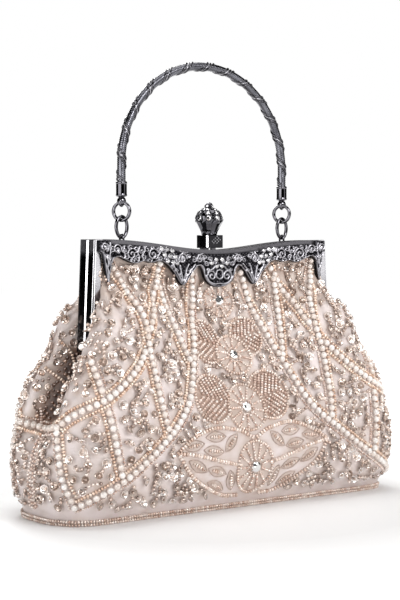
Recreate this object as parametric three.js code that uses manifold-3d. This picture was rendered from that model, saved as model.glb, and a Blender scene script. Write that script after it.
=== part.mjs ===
// Evening clutch: a beaded cloth pouch on a hinged metal frame, with a lever clasp on top
// and a short wire-wound rope handle on two pairs of chain links.
// Millimetres, +Z up. The front faces -Y. The origin is the middle of the base, on the table.
import * as THREE from "three";
import { mergeVertices } from "three/addons/utils/BufferGeometryUtils.js";
import Module from "manifold-3d";

const wasm = await Module();
wasm.setup();

// Driving sizes of the frame
const FRAME_HEIGHT = 153.7; // top corners of the frame above the table
const FRAME_HALF_WIDTH = 84.2; // at the top corners
const LEG_SPLAY = 0.045; // outward run of a leg for each millimetre down
const LEG_FOOT = 91; // lower end of the legs
const TOP_DIP = 6; // the top bar is this much lower in the middle
const DIP_SHARPNESS = 1.3;
const RIM = 4.5; // width of the channel seen from the front
const METAL = 1.2; // sheet thickness of the channel
const HALF_DEPTH = 7.5; // front face of the closed frame from the middle plane
const GAP = 0.3; // clearance between pieces that touch
const PARTING = GAP / 2; // inner face of each frame half from the middle plane
const EAR = { radius: 2.3, drop: 3.4, climb: 3, hole: 1.1, thickness: 0.8, inset: 0.2, edge: 2.1 };
const EAR_HEIGHT = LEG_FOOT - EAR.drop; // hinge axis above the table
const INNER_EAR = METAL + GAP; // the back half's ears lie this far inside the leg

// Driving sizes of the pouch
const CLOTH = 2; // satin, backing and lining together
const BASE_THICKNESS = 2;
const TRIM_RADIUS = 1.6;
const TRIM_HEIGHT = 2.3;

// Driving sizes of the clasp
const CLASP_WIDTH = 10.4;
const CLASP_FRONT = -6.2;
const CLASP_BACK = 6.4;
const CLASP_HEIGHT = 7.5;
const CLASP_LIFT = 1.2; // clear height under the lever
const PIVOT_Y = 4.6;
const PIVOT_RISE = 2.4; // pivot axis above the frame top
const PIN_RADIUS = 0.8;
const LUG_RADIUS = 1.8;
const LUG_WIDTH = 4;
const CATCH = { width: 3, front: -4.6, back: -3, height: 3 };

// Driving sizes of the handle
const HANDLE_X = 59; // each end of the handle from the middle
const HANDLE_Y = 4;
const HANDLE_TOP = 255.5; // centre line of the rope at the top of the arch
const ROPE_RADIUS = 2.65;
const FERRULE = { radius: 3.2, bottom: 178, top: 186.6 };
const EYE = { ring: 2, wire: 0.8, neck: 1.3 };
const UPPER_LINK = { ring: 4.9, wire: 0.85, stretch: 1, turn: -60 };
const LOWER_LINK = { ring: 3.7, wire: 0.8, stretch: 1.54, turn: 5 };
const LOOP = { ring: 1.9, wire: 0.6, height: 3.1 };
const LINK_CLEARANCE = 0.12; // between the wires of two linked rings

// Sections of the front half of the pouch, from the table up to the frame.
// Each has points on one side: the edge of the cloth, the neck behind the puffed side, the
// widest place, the rounded corner, and the depth in the middle. follow is the share of the
// frame's dip that the section takes.
const SECTION_COLUMNS = [
  "height", "edgeX", "edgeY", "neckX", "neckY", "sideX", "sideY", "cornerX", "cornerY", "middleY",
  "follow",
];
const SECTIONS = [
  [0, 118, 0.2, 118, 7, 114.5, 19, 101, 30, 31.2, 0],
  [4.5, 118.4, 0.2, 118.5, 7, 115.4, 19, 102, 31, 32, 0],
  [13, 119.6, 0.2, 120, 8, 118, 18.5, 103.5, 37.2, 38.3, 0],
  [27, 119.8, 0.2, 120.5, 9, 119.3, 20, 102, 41.3, 43.5, 0],
  [44, 113.5, 0.2, 116.6, 9, 118.3, 21, 100, 40.3, 42, 0],
  [60, 98.5, 0.2, 104.5, 8, 114.5, 21, 96.5, 38, 36.8, 0],
  [74, 88, 0.2, 93, 6.5, 108.5, 19, 92.5, 35, 30.5, 0],
  [82, 86, 1.2, 87.6, 6.5, 103, 17.5, 89, 32.8, 27, 0],
  [92, 85, 4.6, 80.2, 7.6, 97.5, 15.8, 85.5, 30, 21.4, 0],
  [108, 84.4, 4.8, 79.6, 7.4, 91.5, 16, 80.5, 25, 13, 0],
  [121, 83.8, 4.8, 79, 6.8, 83, 10.2, 74, 15, 8.4, 0.3],
  [135, 83.2, 4.8, 78.2, 5, 77, 5.4, 70, 6.4, 6, 0.8],
  [151.9, 82.5, 4.8, 78, 4.8, 75.5, 4.8, 68, 4.8, 4.8, 1],
].map((row) => Object.fromEntries(row.map((value, column) => [SECTION_COLUMNS[column], value])));
const SPAN_STEPS = 3; // facets between two neighbouring points of a section
const PANEL_ROWS = 20; // facets up the panel

// Routes of the raised pearl rows on one half of a panel: distance from the middle, then height.
const PEARL_BAND = { halfWidth: 2, rise: 1.1, seat: 0.6, sides: 5, stepLength: 8.5 };
const PEARL_ROUTES = {
  sweep: [[17.4, 132], [22, 114], [30, 89], [40, 66], [56, 48], [84, 28.5], [112, 11.5]],
  firstBrace: [[74, 138], [66, 122], [62, 104], [62.5, 88], [62, 72], [59, 46]],
  secondBrace: [[39.5, 140], [47, 124.5], [58, 104], [71, 86], [92, 70], [110, 60.5], [116, 53]],
  innerBrace: [[42, 136], [41, 118], [38, 102], [33, 82]],
  outerBrace: [[97, 87], [97.5, 72], [94.5, 50], [91, 24]],
  cornerBrace: [[116, 54], [117, 40], [116, 25], [112, 11.5]],
};

// Lower outline of the cast ornament on one side: distance from the middle, drop below the
// frame's top corners.
const ORNAMENT_THICKNESS = 1.6;
const ORNAMENT_BORDER = 2.4; // plain strip of the frame above the ornament
const ORNAMENT_OUTLINE = [
  [0, 27.7], [6, 26.6], [10.2, 23], [12.4, 17.6], [14.8, 15.4], [18.6, 18.4], [26, 26.4], [33, 18.6],
  [38.5, 13.6], [43, 12.4], [48, 13.4], [53, 12.5], [58, 13.6], [63, 12.8], [68, 10.8], [72.5, 10],
  [76.4, 12.8], [78.2, 20], [80.6, 25.6], [84.6, 24],
];

// Heights of the faceted stones down the middle of each panel
const CRYSTAL_HEIGHTS = [118, 88.5, 58.5, 24];
const CRYSTAL = { radius: 2.8, girdle: 0.9, height: 2.1, table: 1.5, seat: 0.7 };

// Profile of the bud-shaped knob with its stud: radius, height above the lever
const STUD_RADIUS = 1.5;
const STUD_DEPTH = 2.6;
const KNOB_PROFILE = [
  [0, -STUD_DEPTH], [STUD_RADIUS, -STUD_DEPTH], [STUD_RADIUS, 0], [3.9, 0], [4.3, 1.2], [4.7, 3.2],
  [6, 6], [7.4, 8.4], [8.3, 10.4], [7.9, 13], [6.2, 15.6], [3.6, 17.2], [1.5, 17.8], [1.8, 18.7],
  [1.2, 19.5], [0, 19.8],
];

const MATERIALS = {
  satin: { color: 0xe6d2c6, roughness: 0.6, metalness: 0 },
  pearl: { color: 0xf1e1d2, roughness: 0.3, metalness: 0 },
  crystal: { color: 0xdcdde0, roughness: 0.1, metalness: 0 },
  gunmetal: { color: 0x3d3d42, roughness: 0.3, metalness: 1 },
};

const clutch = new THREE.Group();

function addPiece(name, geometry, look) {
  const mesh = new THREE.Mesh(geometry, new THREE.MeshStandardMaterial(MATERIALS[look]));
  mesh.name = name;
  clutch.add(mesh);
  return mesh;
}

// Joining and cutting of closed shapes
function toSolid(geometry) {
  const bare = geometry.clone();
  bare.deleteAttribute("normal");
  bare.deleteAttribute("uv");
  const merged = mergeVertices(bare, 1e-4);
  const vertProperties = new Float32Array(merged.attributes.position.array);
  const triVerts = new Uint32Array(merged.index.array);
  return new wasm.Manifold(new wasm.Mesh({ numProp: 3, vertProperties, triVerts }));
}

function toGeometry(solid) {
  const mesh = solid.getMesh();
  const geometry = new THREE.BufferGeometry();
  geometry.setAttribute("position", new THREE.BufferAttribute(mesh.vertProperties, 3));
  geometry.setIndex(new THREE.BufferAttribute(mesh.triVerts, 1));
  geometry.computeVertexNormals();
  return geometry;
}

const join = (...shapes) => toGeometry(shapes.map(toSolid).reduce((sum, solid) => sum.add(solid)));
const cut = (shape, ...tools) =>
  toGeometry(tools.map(toSolid).reduce((rest, tool) => rest.subtract(tool), toSolid(shape)));

// Box between two corners
function boxBetween([x0, y0, z0], [x1, y1, z1]) {
  const box = new THREE.BoxGeometry(x1 - x0, y1 - y0, z1 - z0);
  return box.translate((x0 + x1) / 2, (y0 + y1) / 2, (z0 + z1) / 2);
}

// Round rod along X
function rodAlongX(radius, x0, x1, y, z, sides = 12) {
  const rod = new THREE.CylinderGeometry(radius, radius, x1 - x0, sides);
  return rod.rotateZ(Math.PI / 2).translate((x0 + x1) / 2, y, z);
}

// Signed volume tells which way the faces of a closed mesh point
function facingOut(positions, indices) {
  const point = (index) => new THREE.Vector3().fromArray(positions, 3 * index);
  let volume = 0;
  for (let i = 0; i < indices.length; i += 3) {
    const [a, b, c] = [indices[i], indices[i + 1], indices[i + 2]].map(point);
    volume += a.dot(b.cross(c));
  }
  return volume > 0;
}

// Closed solid through rings of equal length. The ends get the given cap faces, or the loft
// closes on itself when there are none.
function loft(rings, capFaces = null) {
  const count = rings[0].length;
  const positions = rings.flat().flatMap((point) => point.toArray());
  const indices = [];
  const spans = capFaces ? rings.length - 1 : rings.length;
  for (let i = 0; i < spans; i += 1) {
    const here = i * count;
    const next = ((i + 1) % rings.length) * count;
    for (let j = 0; j < count; j += 1) {
      const k = (j + 1) % count;
      indices.push(here + j, here + k, next + k, here + j, next + k, next + j);
    }
  }
  const lastRing = (rings.length - 1) * count;
  for (const [a, b, c] of capFaces ?? []) {
    indices.push(c, b, a, lastRing + a, lastRing + b, lastRing + c);
  }
  if (!facingOut(positions, indices)) {
    indices.reverse();
  }
  const geometry = new THREE.BufferGeometry();
  geometry.setAttribute("position", new THREE.Float32BufferAttribute(positions, 3));
  geometry.setIndex(indices);
  geometry.computeVertexNormals();
  return geometry;
}

const smooth = (points) => new THREE.CatmullRomCurve3(points, false, "catmullrom", 0.5);

// Outline of the frame
const topDip = (x) => {
  const share = Math.min(Math.abs(x) / FRAME_HALF_WIDTH, 1);
  return TOP_DIP * ((1 + Math.cos(Math.PI * share)) / 2) ** DIP_SHARPNESS;
};
const frameTop = (x) => FRAME_HEIGHT - topDip(x);
const legX = (z) => FRAME_HALF_WIDTH + LEG_SPLAY * (FRAME_HEIGHT - z);

// Surface of the pouch's front, from the sections. across runs from the left edge to the right
// edge, and up from the base to the frame, both from 0 to 1.
function sectionPoints(row) {
  const shoulder = row.middleY + (row.cornerY - row.middleY) / 4;
  const half = [
    [row.edgeX, row.edgeY],
    [row.neckX, row.neckY],
    [row.sideX, row.sideY],
    [row.cornerX, row.cornerY],
    [row.cornerX / 2, shoulder],
  ];
  const place = (x, y) => new THREE.Vector3(x, -y, row.height - row.follow * topDip(x));
  const left = half.map(([x, y]) => place(-x, y));
  const right = half.map(([x, y]) => place(x, y)).reverse();
  return [...left, place(0, row.middleY), ...right];
}

const sectionCurves = SECTIONS.map((row) => smooth(sectionPoints(row)));
const SPANS = sectionPoints(SECTIONS[0]).length - 1;

function pouchPoint(across, up) {
  return smooth(sectionCurves.map((curve) => curve.getPoint(across))).getPoint(up);
}

function pouchNormal(across, up) {
  const step = 0.002;
  const left = pouchPoint(Math.max(across - step, 0), up);
  const right = pouchPoint(Math.min(across + step, 1), up);
  const below = pouchPoint(across, Math.max(up - step, 0));
  const above = pouchPoint(across, Math.min(up + step, 1));
  return right.sub(left).cross(above.sub(below)).normalize();
}

// Place on the pouch's front that is seen at x and z from straight ahead, found by nearing it
// from a coarse table of the surface.
const lookup = [];
for (let up = 0.02; up < 1; up += 0.04) {
  for (let across = 0.18; across < 0.83; across += 0.02) {
    lookup.push({ across, up, point: pouchPoint(across, up) });
  }
}

function pouchAt(x, z) {
  const miss = (entry) => Math.hypot(entry.point.x - x, entry.point.z - z);
  let { across, up } = lookup.reduce((best, entry) => (miss(entry) < miss(best) ? entry : best));
  const step = 0.001;
  for (let pass = 0; pass < 6; pass += 1) {
    const here = pouchPoint(across, up);
    const sideways = pouchPoint(across + step, up).sub(here).divideScalar(step);
    const upward = pouchPoint(across, up + step).sub(here).divideScalar(step);
    const determinant = sideways.x * upward.z - upward.x * sideways.z;
    across += ((x - here.x) * upward.z - (z - here.z) * upward.x) / determinant;
    up += ((z - here.z) * sideways.x - (x - here.x) * sideways.z) / determinant;
  }
  return { point: pouchPoint(across, up), normal: pouchNormal(across, up) };
}

const mirrorY = (geometry) => toGeometry(toSolid(geometry).mirror([0, 1, 0]));
const turnBack = (geometry) => geometry.clone().rotateZ(Math.PI);

// Cloth panels
function panelGeometry() {
  const columns = SPANS * SPAN_STEPS;
  const rings = [];
  for (let i = 0; i <= PANEL_ROWS; i += 1) {
    const outer = [];
    const inner = [];
    for (let j = 0; j <= columns; j += 1) {
      const point = pouchPoint(j / columns, i / PANEL_ROWS);
      const normal = pouchNormal(j / columns, i / PANEL_ROWS);
      normal.z = i === 0 ? 0 : normal.z;
      outer.push(point);
      inner.unshift(point.clone().addScaledVector(normal.normalize(), -CLOTH));
    }
    rings.push([...outer, ...inner]);
  }
  const last = 2 * columns + 1;
  const capFaces = [];
  for (let j = 0; j < columns; j += 1) {
    capFaces.push([j, j + 1, last - j - 1], [j, last - j - 1, last - j]);
  }
  return loft(rings, capFaces);
}

// Closed outline at the height of a section's start, moved out from the cloth's outer face
function baseOutline(outward) {
  const steps = SPANS * SPAN_STEPS;
  const front = [];
  for (let j = 0; j <= steps; j += 1) {
    const point = pouchPoint(j / steps, 0);
    const normal = pouchNormal(j / steps, 0);
    normal.z = 0;
    front.push(point.addScaledVector(normal.normalize(), outward));
  }
  const back = front.map((point) => new THREE.Vector3(-point.x, -point.y, point.z));
  return [...front, ...back];
}

function basePanelGeometry() {
  const outline = baseOutline(-CLOTH - GAP).map((point) => new THREE.Vector2(point.x, point.y));
  return new THREE.ExtrudeGeometry(new THREE.Shape(outline), {
    depth: BASE_THICKNESS,
    bevelEnabled: false,
  });
}

function baseTrimGeometry() {
  const path = baseOutline(TRIM_RADIUS + 2 * GAP);
  const sides = 8;
  const rings = path.map((point, i) => {
    const before = path[(i + path.length - 1) % path.length];
    const after = path[(i + 1) % path.length];
    const along = after.clone().sub(before).normalize();
    const outward = new THREE.Vector3(along.y, -along.x, 0);
    return Array.from({ length: sides }, (unused, k) => {
      const angle = (2 * Math.PI * k) / sides;
      const ringPoint = point.clone().addScaledVector(outward, TRIM_RADIUS * Math.cos(angle));
      ringPoint.z = TRIM_HEIGHT + TRIM_RADIUS * Math.sin(angle);
      return ringPoint;
    });
  });
  return loft(rings);
}

// Raised pearl rows: a low half-round band that follows the cloth
function pearlBandGeometry(route, side) {
  const { halfWidth, rise, seat, sides, stepLength } = PEARL_BAND;
  const flat = smooth(route.map(([x, z]) => new THREE.Vector3(side * x, 0, z)));
  const steps = Math.ceil(flat.getLength() / stepLength);
  const rings = flat.getSpacedPoints(steps).map((spot, i) => {
    const { point, normal } = pouchAt(spot.x, spot.z);
    const direction = flat.getTangentAt(i / steps);
    const ahead = pouchAt(spot.x + direction.x, spot.z + direction.z).point.sub(point).normalize();
    const across = new THREE.Vector3().crossVectors(ahead, normal).normalize();
    return Array.from({ length: sides }, (unused, k) => {
      const angle = (2 * Math.PI * (k + 0.5)) / sides;
      const height = seat + rise + rise * Math.sin(angle);
      return point
        .clone()
        .addScaledVector(across, halfWidth * Math.cos(angle))
        .addScaledVector(normal, height);
    });
  });
  const capFaces = Array.from({ length: sides - 2 }, (unused, k) => [0, k + 1, k + 2]);
  return loft(rings, capFaces);
}

function crystalGeometry(height) {
  const { radius, girdle, height: rise, table, seat } = CRYSTAL;
  const profile = [[0, 0], [radius, 0], [radius, girdle], [table, rise], [0, rise]];
  const stone = new THREE.LatheGeometry(profile.map(([r, y]) => new THREE.Vector2(r, y)), 8);
  const { point, normal } = pouchAt(0, height);
  const turn = new THREE.Quaternion().setFromUnitVectors(new THREE.Vector3(0, 1, 0), normal);
  const spot = point.addScaledVector(normal, seat);
  return toGeometry(toSolid(stone.applyQuaternion(turn).translate(spot.x, spot.y, spot.z)));
}

function addPouch() {
  const panel = panelGeometry();
  addPiece("front_panel", panel, "satin");
  addPiece("back_panel", turnBack(panel), "satin");
  addPiece("base_panel", basePanelGeometry(), "satin");
  addPiece("base_trim", baseTrimGeometry(), "pearl");
  for (const [sideName, side] of [["left", -1], ["right", 1]]) {
    const bands = join(...Object.values(PEARL_ROUTES).map((route) => pearlBandGeometry(route, side)));
    addPiece(`pearl_bands_front_${sideName}`, bands, "pearl");
    addPiece(`pearl_bands_back_${sideName}`, mirrorY(bands), "pearl");
  }
  CRYSTAL_HEIGHTS.forEach((height, i) => {
    const stone = crystalGeometry(height);
    addPiece(`crystal_front_${i + 1}`, stone, "crystal");
    addPiece(`crystal_back_${i + 1}`, turnBack(stone), "crystal");
  });
}

// Path of the frame's outer edge from the left foot over the top to the right foot, with the
// direction that leads into the channel at each place
function framePath() {
  const half = [
    new THREE.Vector2(legX(LEG_FOOT), LEG_FOOT),
    new THREE.Vector2(FRAME_HALF_WIDTH, FRAME_HEIGHT),
  ];
  const topSteps = 8;
  const reach = FRAME_HALF_WIDTH - 2 * RIM;
  for (let i = 0; i < topSteps; i += 1) {
    const x = reach * (1 - i / topSteps);
    half.push(new THREE.Vector2(x, frameTop(x)));
  }
  const left = half.map((point) => new THREE.Vector2(-point.x, point.y));
  const path = [...left, new THREE.Vector2(0, frameTop(0)), ...half.reverse()];
  return path.map((point, i) => {
    const before = path[Math.max(i - 1, 0)];
    const after = path[Math.min(i + 1, path.length - 1)];
    const inSide = (from, to) => new THREE.Vector2(to.y - from.y, from.x - to.x).normalize();
    const first = i > 0 ? inSide(before, point) : inSide(point, after);
    const second = i < path.length - 1 ? inSide(point, after) : first;
    const middle = first.clone().add(second).normalize();
    return { point, inward: middle.divideScalar(middle.dot(first)) };
  });
}

function channelGeometry() {
  const section = [
    [0, HALF_DEPTH],
    [RIM, HALF_DEPTH],
    [RIM, HALF_DEPTH - METAL],
    [METAL, HALF_DEPTH - METAL],
    [METAL, PARTING + METAL],
    [RIM, PARTING + METAL],
    [RIM, PARTING],
    [0, PARTING],
  ];
  const rings = framePath().map(({ point, inward }) =>
    section.map(([depth, y]) => {
      const place = inward.clone().multiplyScalar(depth).add(point);
      return new THREE.Vector3(place.x, -y, place.y);
    }),
  );
  const flat = section.map(([depth, y]) => new THREE.Vector2(depth, y));
  const capFaces = THREE.ShapeUtils.triangulateShape(flat, []).map(([a, b, c]) => [c, b, a]);
  return loft(rings, capFaces);
}

// Plate of an outline in Y and Z, from x0 to x1
function plateAcross(outline, x0, x1) {
  const options = { depth: x1 - x0, bevelEnabled: false, curveSegments: 5 };
  const plate = new THREE.ExtrudeGeometry(outline, options);
  const [x, y, z] = [0, 1, 2].map((axis) => new THREE.Vector3().setComponent(axis, 1));
  return plate.applyMatrix4(new THREE.Matrix4().makeBasis(y, z, x)).translate(x0, 0, 0);
}

const roundHole = (y, z, radius) => new THREE.Path().absarc(y, z, radius, 0, 2 * Math.PI, true);

// Hinge ear: a strip that climbs into the foot of a front leg, round at its lower end
function earGeometry(x0, x1) {
  const rise = (y) => Math.sqrt(EAR.radius ** 2 - y ** 2);
  const nearY = -PARTING - EAR.inset;
  const top = LEG_FOOT + EAR.climb;
  const from = Math.atan2(rise(EAR.edge), -EAR.edge);
  const to = Math.atan2(rise(nearY), nearY);
  const outline = new THREE.Shape();
  outline.absarc(0, EAR_HEIGHT, EAR.radius, from, to);
  outline.lineTo(nearY, top);
  outline.lineTo(-EAR.edge, top);
  outline.holes.push(roundHole(0, EAR_HEIGHT, EAR.hole));
  return plateAcross(outline, x0, x1);
}

// The back half's ears lie inside the front half's, on a block that reaches to the wall of the leg
function legEars(side, isFront) {
  const foot = legX(LEG_FOOT);
  const span = (near, far) => [side * (foot - near), side * (foot - far)].sort((a, b) => a - b);
  if (isFront) {
    return [earGeometry(...span(EAR.inset, EAR.inset + EAR.thickness))];
  }
  const ear = mirrorY(earGeometry(...span(INNER_EAR, INNER_EAR + EAR.thickness)));
  const [x0, x1] = span(METAL / 2, INNER_EAR + EAR.thickness / 2);
  const root = boxBetween(
    [x0, PARTING + 2 * EAR.inset, LEG_FOOT + EAR.climb / 5],
    [x1, EAR.edge - EAR.inset, LEG_FOOT + (4 * EAR.climb) / 5],
  );
  return [ear, root];
}

// Lug that carries the clasp's pivot on the back half
function lugGeometry() {
  const pivotZ = frameTop(0) + PIVOT_RISE;
  const outline = new THREE.Shape();
  outline.absarc(PIVOT_Y, pivotZ, LUG_RADIUS, 0, Math.PI);
  outline.lineTo(PIVOT_Y - LUG_RADIUS, frameTop(0) - METAL / 2);
  outline.lineTo(PIVOT_Y + LUG_RADIUS, frameTop(0) - METAL / 2);
  outline.holes.push(roundHole(PIVOT_Y, pivotZ, PIN_RADIUS + GAP));
  return plateAcross(outline, -LUG_WIDTH / 2, LUG_WIDTH / 2);
}

function addFrame() {
  const channel = channelGeometry();
  const ears = (isFront) => [-1, 1].flatMap((side) => legEars(side, isFront));
  const catchStud = boxBetween(
    [-CATCH.width / 2, CATCH.front, frameTop(0) - METAL / 2],
    [CATCH.width / 2, CATCH.back, frameTop(0) + CATCH.height],
  );
  addPiece("frame_front", join(channel, ...ears(true), catchStud), "gunmetal");
  addPiece("frame_back", join(mirrorY(channel), ...ears(false), lugGeometry()), "gunmetal");

  const foot = legX(LEG_FOOT);
  const headLength = 0.7;
  for (const [sideName, side] of [["left", -1], ["right", 1]]) {
    const shankEnds = [side * (foot + GAP), side * (foot - INNER_EAR - EAR.thickness - GAP)];
    const headEnds = [side * (foot + GAP + headLength), shankEnds[0]];
    const [s0, s1] = shankEnds.sort((a, b) => a - b);
    const [h0, h1] = headEnds.sort((a, b) => a - b);
    const shank = rodAlongX(EAR.hole - GAP, s0 - 0.1, s1 + 0.1, 0, EAR_HEIGHT);
    const head = rodAlongX(EAR.hole + GAP, h0, h1, 0, EAR_HEIGHT);
    addPiece(`hinge_rivet_${sideName}`, join(shank, head), "gunmetal");
  }

  const ornament = ornamentGeometry();
  addPiece("ornament_front", ornament, "gunmetal");
  addPiece("ornament_back", turnBack(ornament), "gunmetal");
}

// Cast relief plate on the face of the frame
function ornamentGeometry() {
  const right = ORNAMENT_OUTLINE.map(([x, drop]) => new THREE.Vector3(x, FRAME_HEIGHT - drop, 0));
  const left = right.map((point) => new THREE.Vector3(-point.x, point.y, 0));
  const lower = smooth([...left.reverse(), ...right.slice(1)]).getPoints(3 * ORNAMENT_OUTLINE.length);
  const endX = right[right.length - 1].x;
  const topSteps = 16;
  const upper = [];
  for (let i = 0; i <= topSteps; i += 1) {
    const x = endX * (1 - (2 * i) / topSteps);
    const border = Math.abs(x) > FRAME_HALF_WIDTH - 2 * RIM ? 2 * GAP : ORNAMENT_BORDER;
    upper.push(new THREE.Vector2(x, frameTop(x) - border));
  }
  const shape = new THREE.Shape([...lower.map((point) => new THREE.Vector2(point.x, point.y)), ...upper]);
  const plate = new THREE.ExtrudeGeometry(shape, { depth: ORNAMENT_THICKNESS, bevelEnabled: false });
  return plate.rotateX(Math.PI / 2).translate(0, -HALF_DEPTH - GAP, 0);
}

// Lever clasp
function claspBlockGeometry() {
  const radius = 2.2;
  const halfWidth = CLASP_WIDTH / 2;
  const shape = new THREE.Shape();
  const corners = [
    [-halfWidth, CLASP_FRONT, Math.PI],
    [halfWidth, CLASP_FRONT, 1.5 * Math.PI],
    [halfWidth, CLASP_BACK, 0],
    [-halfWidth, CLASP_BACK, 0.5 * Math.PI],
  ];
  for (const [x, y, start] of corners) {
    shape.absarc(x - Math.sign(x) * radius, y - Math.sign(y) * radius, radius, start, start + Math.PI / 2);
  }
  const bottom = frameTop(0) + CLASP_LIFT;
  const pivotZ = frameTop(0) + PIVOT_RISE;
  const block = new THREE.ExtrudeGeometry(shape, {
    depth: CLASP_HEIGHT,
    bevelEnabled: false,
    curveSegments: 3,
  });
  const slotHalf = LUG_WIDTH / 2 + 2 * GAP;
  const slotRadius = LUG_RADIUS + 2 * GAP;
  const slot = boxBetween(
    [-slotHalf, PIVOT_Y - slotRadius, bottom - 1],
    [slotHalf, CLASP_BACK + 1, pivotZ + slotRadius],
  );
  const bore = rodAlongX(PIN_RADIUS + GAP, -CLASP_WIDTH, CLASP_WIDTH, PIVOT_Y, pivotZ);
  const room = 2 * GAP;
  const pocket = boxBetween(
    [-CATCH.width / 2 - room, CATCH.front - room, bottom - 1],
    [CATCH.width / 2 + room, CATCH.back + room, frameTop(0) + CATCH.height + room],
  );
  const studHole = new THREE.CylinderGeometry(STUD_RADIUS + GAP, STUD_RADIUS + GAP, 2 * STUD_DEPTH, 12);
  studHole.rotateX(Math.PI / 2).translate(0, 0, bottom + CLASP_HEIGHT);
  return cut(block.translate(0, 0, bottom), slot, bore, pocket, studHole);
}

function addClasp() {
  addPiece("clasp_block", claspBlockGeometry(), "gunmetal");
  const profile = KNOB_PROFILE.map(([r, y]) => new THREE.Vector2(r, y));
  const knob = new THREE.LatheGeometry(profile, 14).rotateX(Math.PI / 2);
  const seat = frameTop(0) + CLASP_LIFT + CLASP_HEIGHT + GAP;
  addPiece("clasp_knob", toGeometry(toSolid(knob.translate(0, 0, seat))), "gunmetal");
  const halfPin = CLASP_WIDTH / 2 - GAP;
  const pin = rodAlongX(PIN_RADIUS, -halfPin, halfPin, PIVOT_Y, frameTop(0) + PIVOT_RISE);
  addPiece("clasp_pin", pin, "gunmetal");
}

// Handle
function archPath() {
  const springing = HANDLE_TOP - HANDLE_X;
  const low = FERRULE.top + GAP;
  const at = (x, z) => new THREE.Vector3(x, HANDLE_Y, z);
  const points = [at(-HANDLE_X, low), at(-HANDLE_X, (low + springing) / 2)];
  const arcSteps = 14;
  for (let i = 0; i <= arcSteps; i += 1) {
    const angle = Math.PI * (1 - i / arcSteps);
    points.push(at(HANDLE_X * Math.cos(angle), springing + HANDLE_X * Math.sin(angle)));
  }
  points.push(at(HANDLE_X, (low + springing) / 2), at(HANDLE_X, low));
  return smooth(points);
}

function ropeGeometry() {
  const sides = 8;
  const round = Array.from({ length: sides }, (unused, k) => {
    const angle = (2 * Math.PI * k) / sides;
    return new THREE.Vector2(ROPE_RADIUS * Math.cos(angle), ROPE_RADIUS * Math.sin(angle));
  });
  return new THREE.ExtrudeGeometry(new THREE.Shape(round), {
    steps: 32,
    extrudePath: archPath(),
    bevelEnabled: false,
  });
}

// Ring in the XZ plane, drawn out along Z, then turned about Z
function linkGeometry({ ring, wire, stretch, turn }, centre) {
  const link = new THREE.TorusGeometry(ring, wire, 7, 20).rotateX(Math.PI / 2);
  const place = link.attributes.position;
  for (let i = 0; i < place.count; i += 1) {
    const [x, z] = [place.getX(i), place.getZ(i)];
    place.setZ(i, z + ((stretch - 1) * ring * z) / Math.hypot(x, z));
  }
  link.rotateZ(THREE.MathUtils.degToRad(turn)).translate(centre.x, centre.y, centre.z);
  return toGeometry(toSolid(link));
}

// Sleeve on the rope's end, with the eye that holds the upper link
function ferruleGeometry(eyeCentre) {
  const post = (radius, bottom, top, sides) =>
    new THREE.CylinderGeometry(radius, radius, top - bottom, sides)
      .rotateX(Math.PI / 2)
      .translate(eyeCentre.x, eyeCentre.y, (top + bottom) / 2);
  const eye = new THREE.TorusGeometry(EYE.ring, EYE.wire, 7, 14).rotateX(Math.PI / 2);
  eye.rotateZ(THREE.MathUtils.degToRad(UPPER_LINK.turn + 90));
  eye.translate(eyeCentre.x, eyeCentre.y, eyeCentre.z);
  const sleeve = post(FERRULE.radius, FERRULE.bottom, FERRULE.top, 14);
  const neck = post(EYE.neck, eyeCentre.z + EYE.ring, FERRULE.bottom + 1, 8);
  return join(sleeve, neck, eye);
}

function addHandle() {
  addPiece("handle_rope", ropeGeometry(), "gunmetal");
  for (const [sideName, side] of [["left", -1], ["right", 1]]) {
    const at = (z) => new THREE.Vector3(side * HANDLE_X, HANDLE_Y, z);
    const reach = (first, second) => first.wire + second.wire + LINK_CLEARANCE;

    const loopBar = frameTop(HANDLE_X) + LOOP.height + LOOP.wire;
    const lowerLow = loopBar - reach(LOOP, LOWER_LINK);
    const lowerHigh = lowerLow + 2 * LOWER_LINK.ring * LOWER_LINK.stretch;
    const upperLow = lowerHigh - reach(LOWER_LINK, UPPER_LINK);
    const upperHigh = upperLow + 2 * UPPER_LINK.ring;
    const eyeLow = upperHigh - reach(UPPER_LINK, EYE);
    const lowerLink = linkGeometry(LOWER_LINK, at((lowerLow + lowerHigh) / 2));
    const upperLink = linkGeometry(UPPER_LINK, at((upperLow + upperHigh) / 2));
    addPiece(`link_lower_${sideName}`, lowerLink, "gunmetal");
    addPiece(`link_upper_${sideName}`, upperLink, "gunmetal");
    addPiece(`ferrule_${sideName}`, ferruleGeometry(at(eyeLow + EYE.ring)), "gunmetal");
    addPiece(`handle_loop_${sideName}`, loopGeometry(at(frameTop(HANDLE_X)), loopBar), "gunmetal");
  }
}

// Wire staple that stands across the frame's top and holds the lowest link
function loopGeometry(foot, barHeight) {
  const at = (reach, z) => new THREE.Vector3(foot.x, foot.y + reach, z);
  const points = [at(-LOOP.ring, foot.z + GAP)];
  const steps = 6;
  for (let i = 0; i <= steps; i += 1) {
    const angle = Math.PI * (1 - i / steps);
    points.push(at(LOOP.ring * Math.cos(angle), barHeight - LOOP.ring * (1 - Math.sin(angle))));
  }
  points.push(at(LOOP.ring, foot.z + GAP));
  const sides = 7;
  const rings = points.map((point, i) => {
    const before = points[Math.max(i - 1, 0)];
    const after = points[Math.min(i + 1, points.length - 1)];
    const along = after.clone().sub(before).normalize();
    const across = new THREE.Vector3(0, along.z, -along.y);
    return Array.from({ length: sides }, (unused, k) => {
      const angle = (2 * Math.PI * k) / sides;
      const spot = point.clone().addScaledVector(across, LOOP.wire * Math.cos(angle));
      spot.x += LOOP.wire * Math.sin(angle);
      return spot;
    });
  });
  const capFaces = Array.from({ length: sides - 2 }, (unused, k) => [0, k + 1, k + 2]);
  return loft(rings, capFaces);
}

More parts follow.
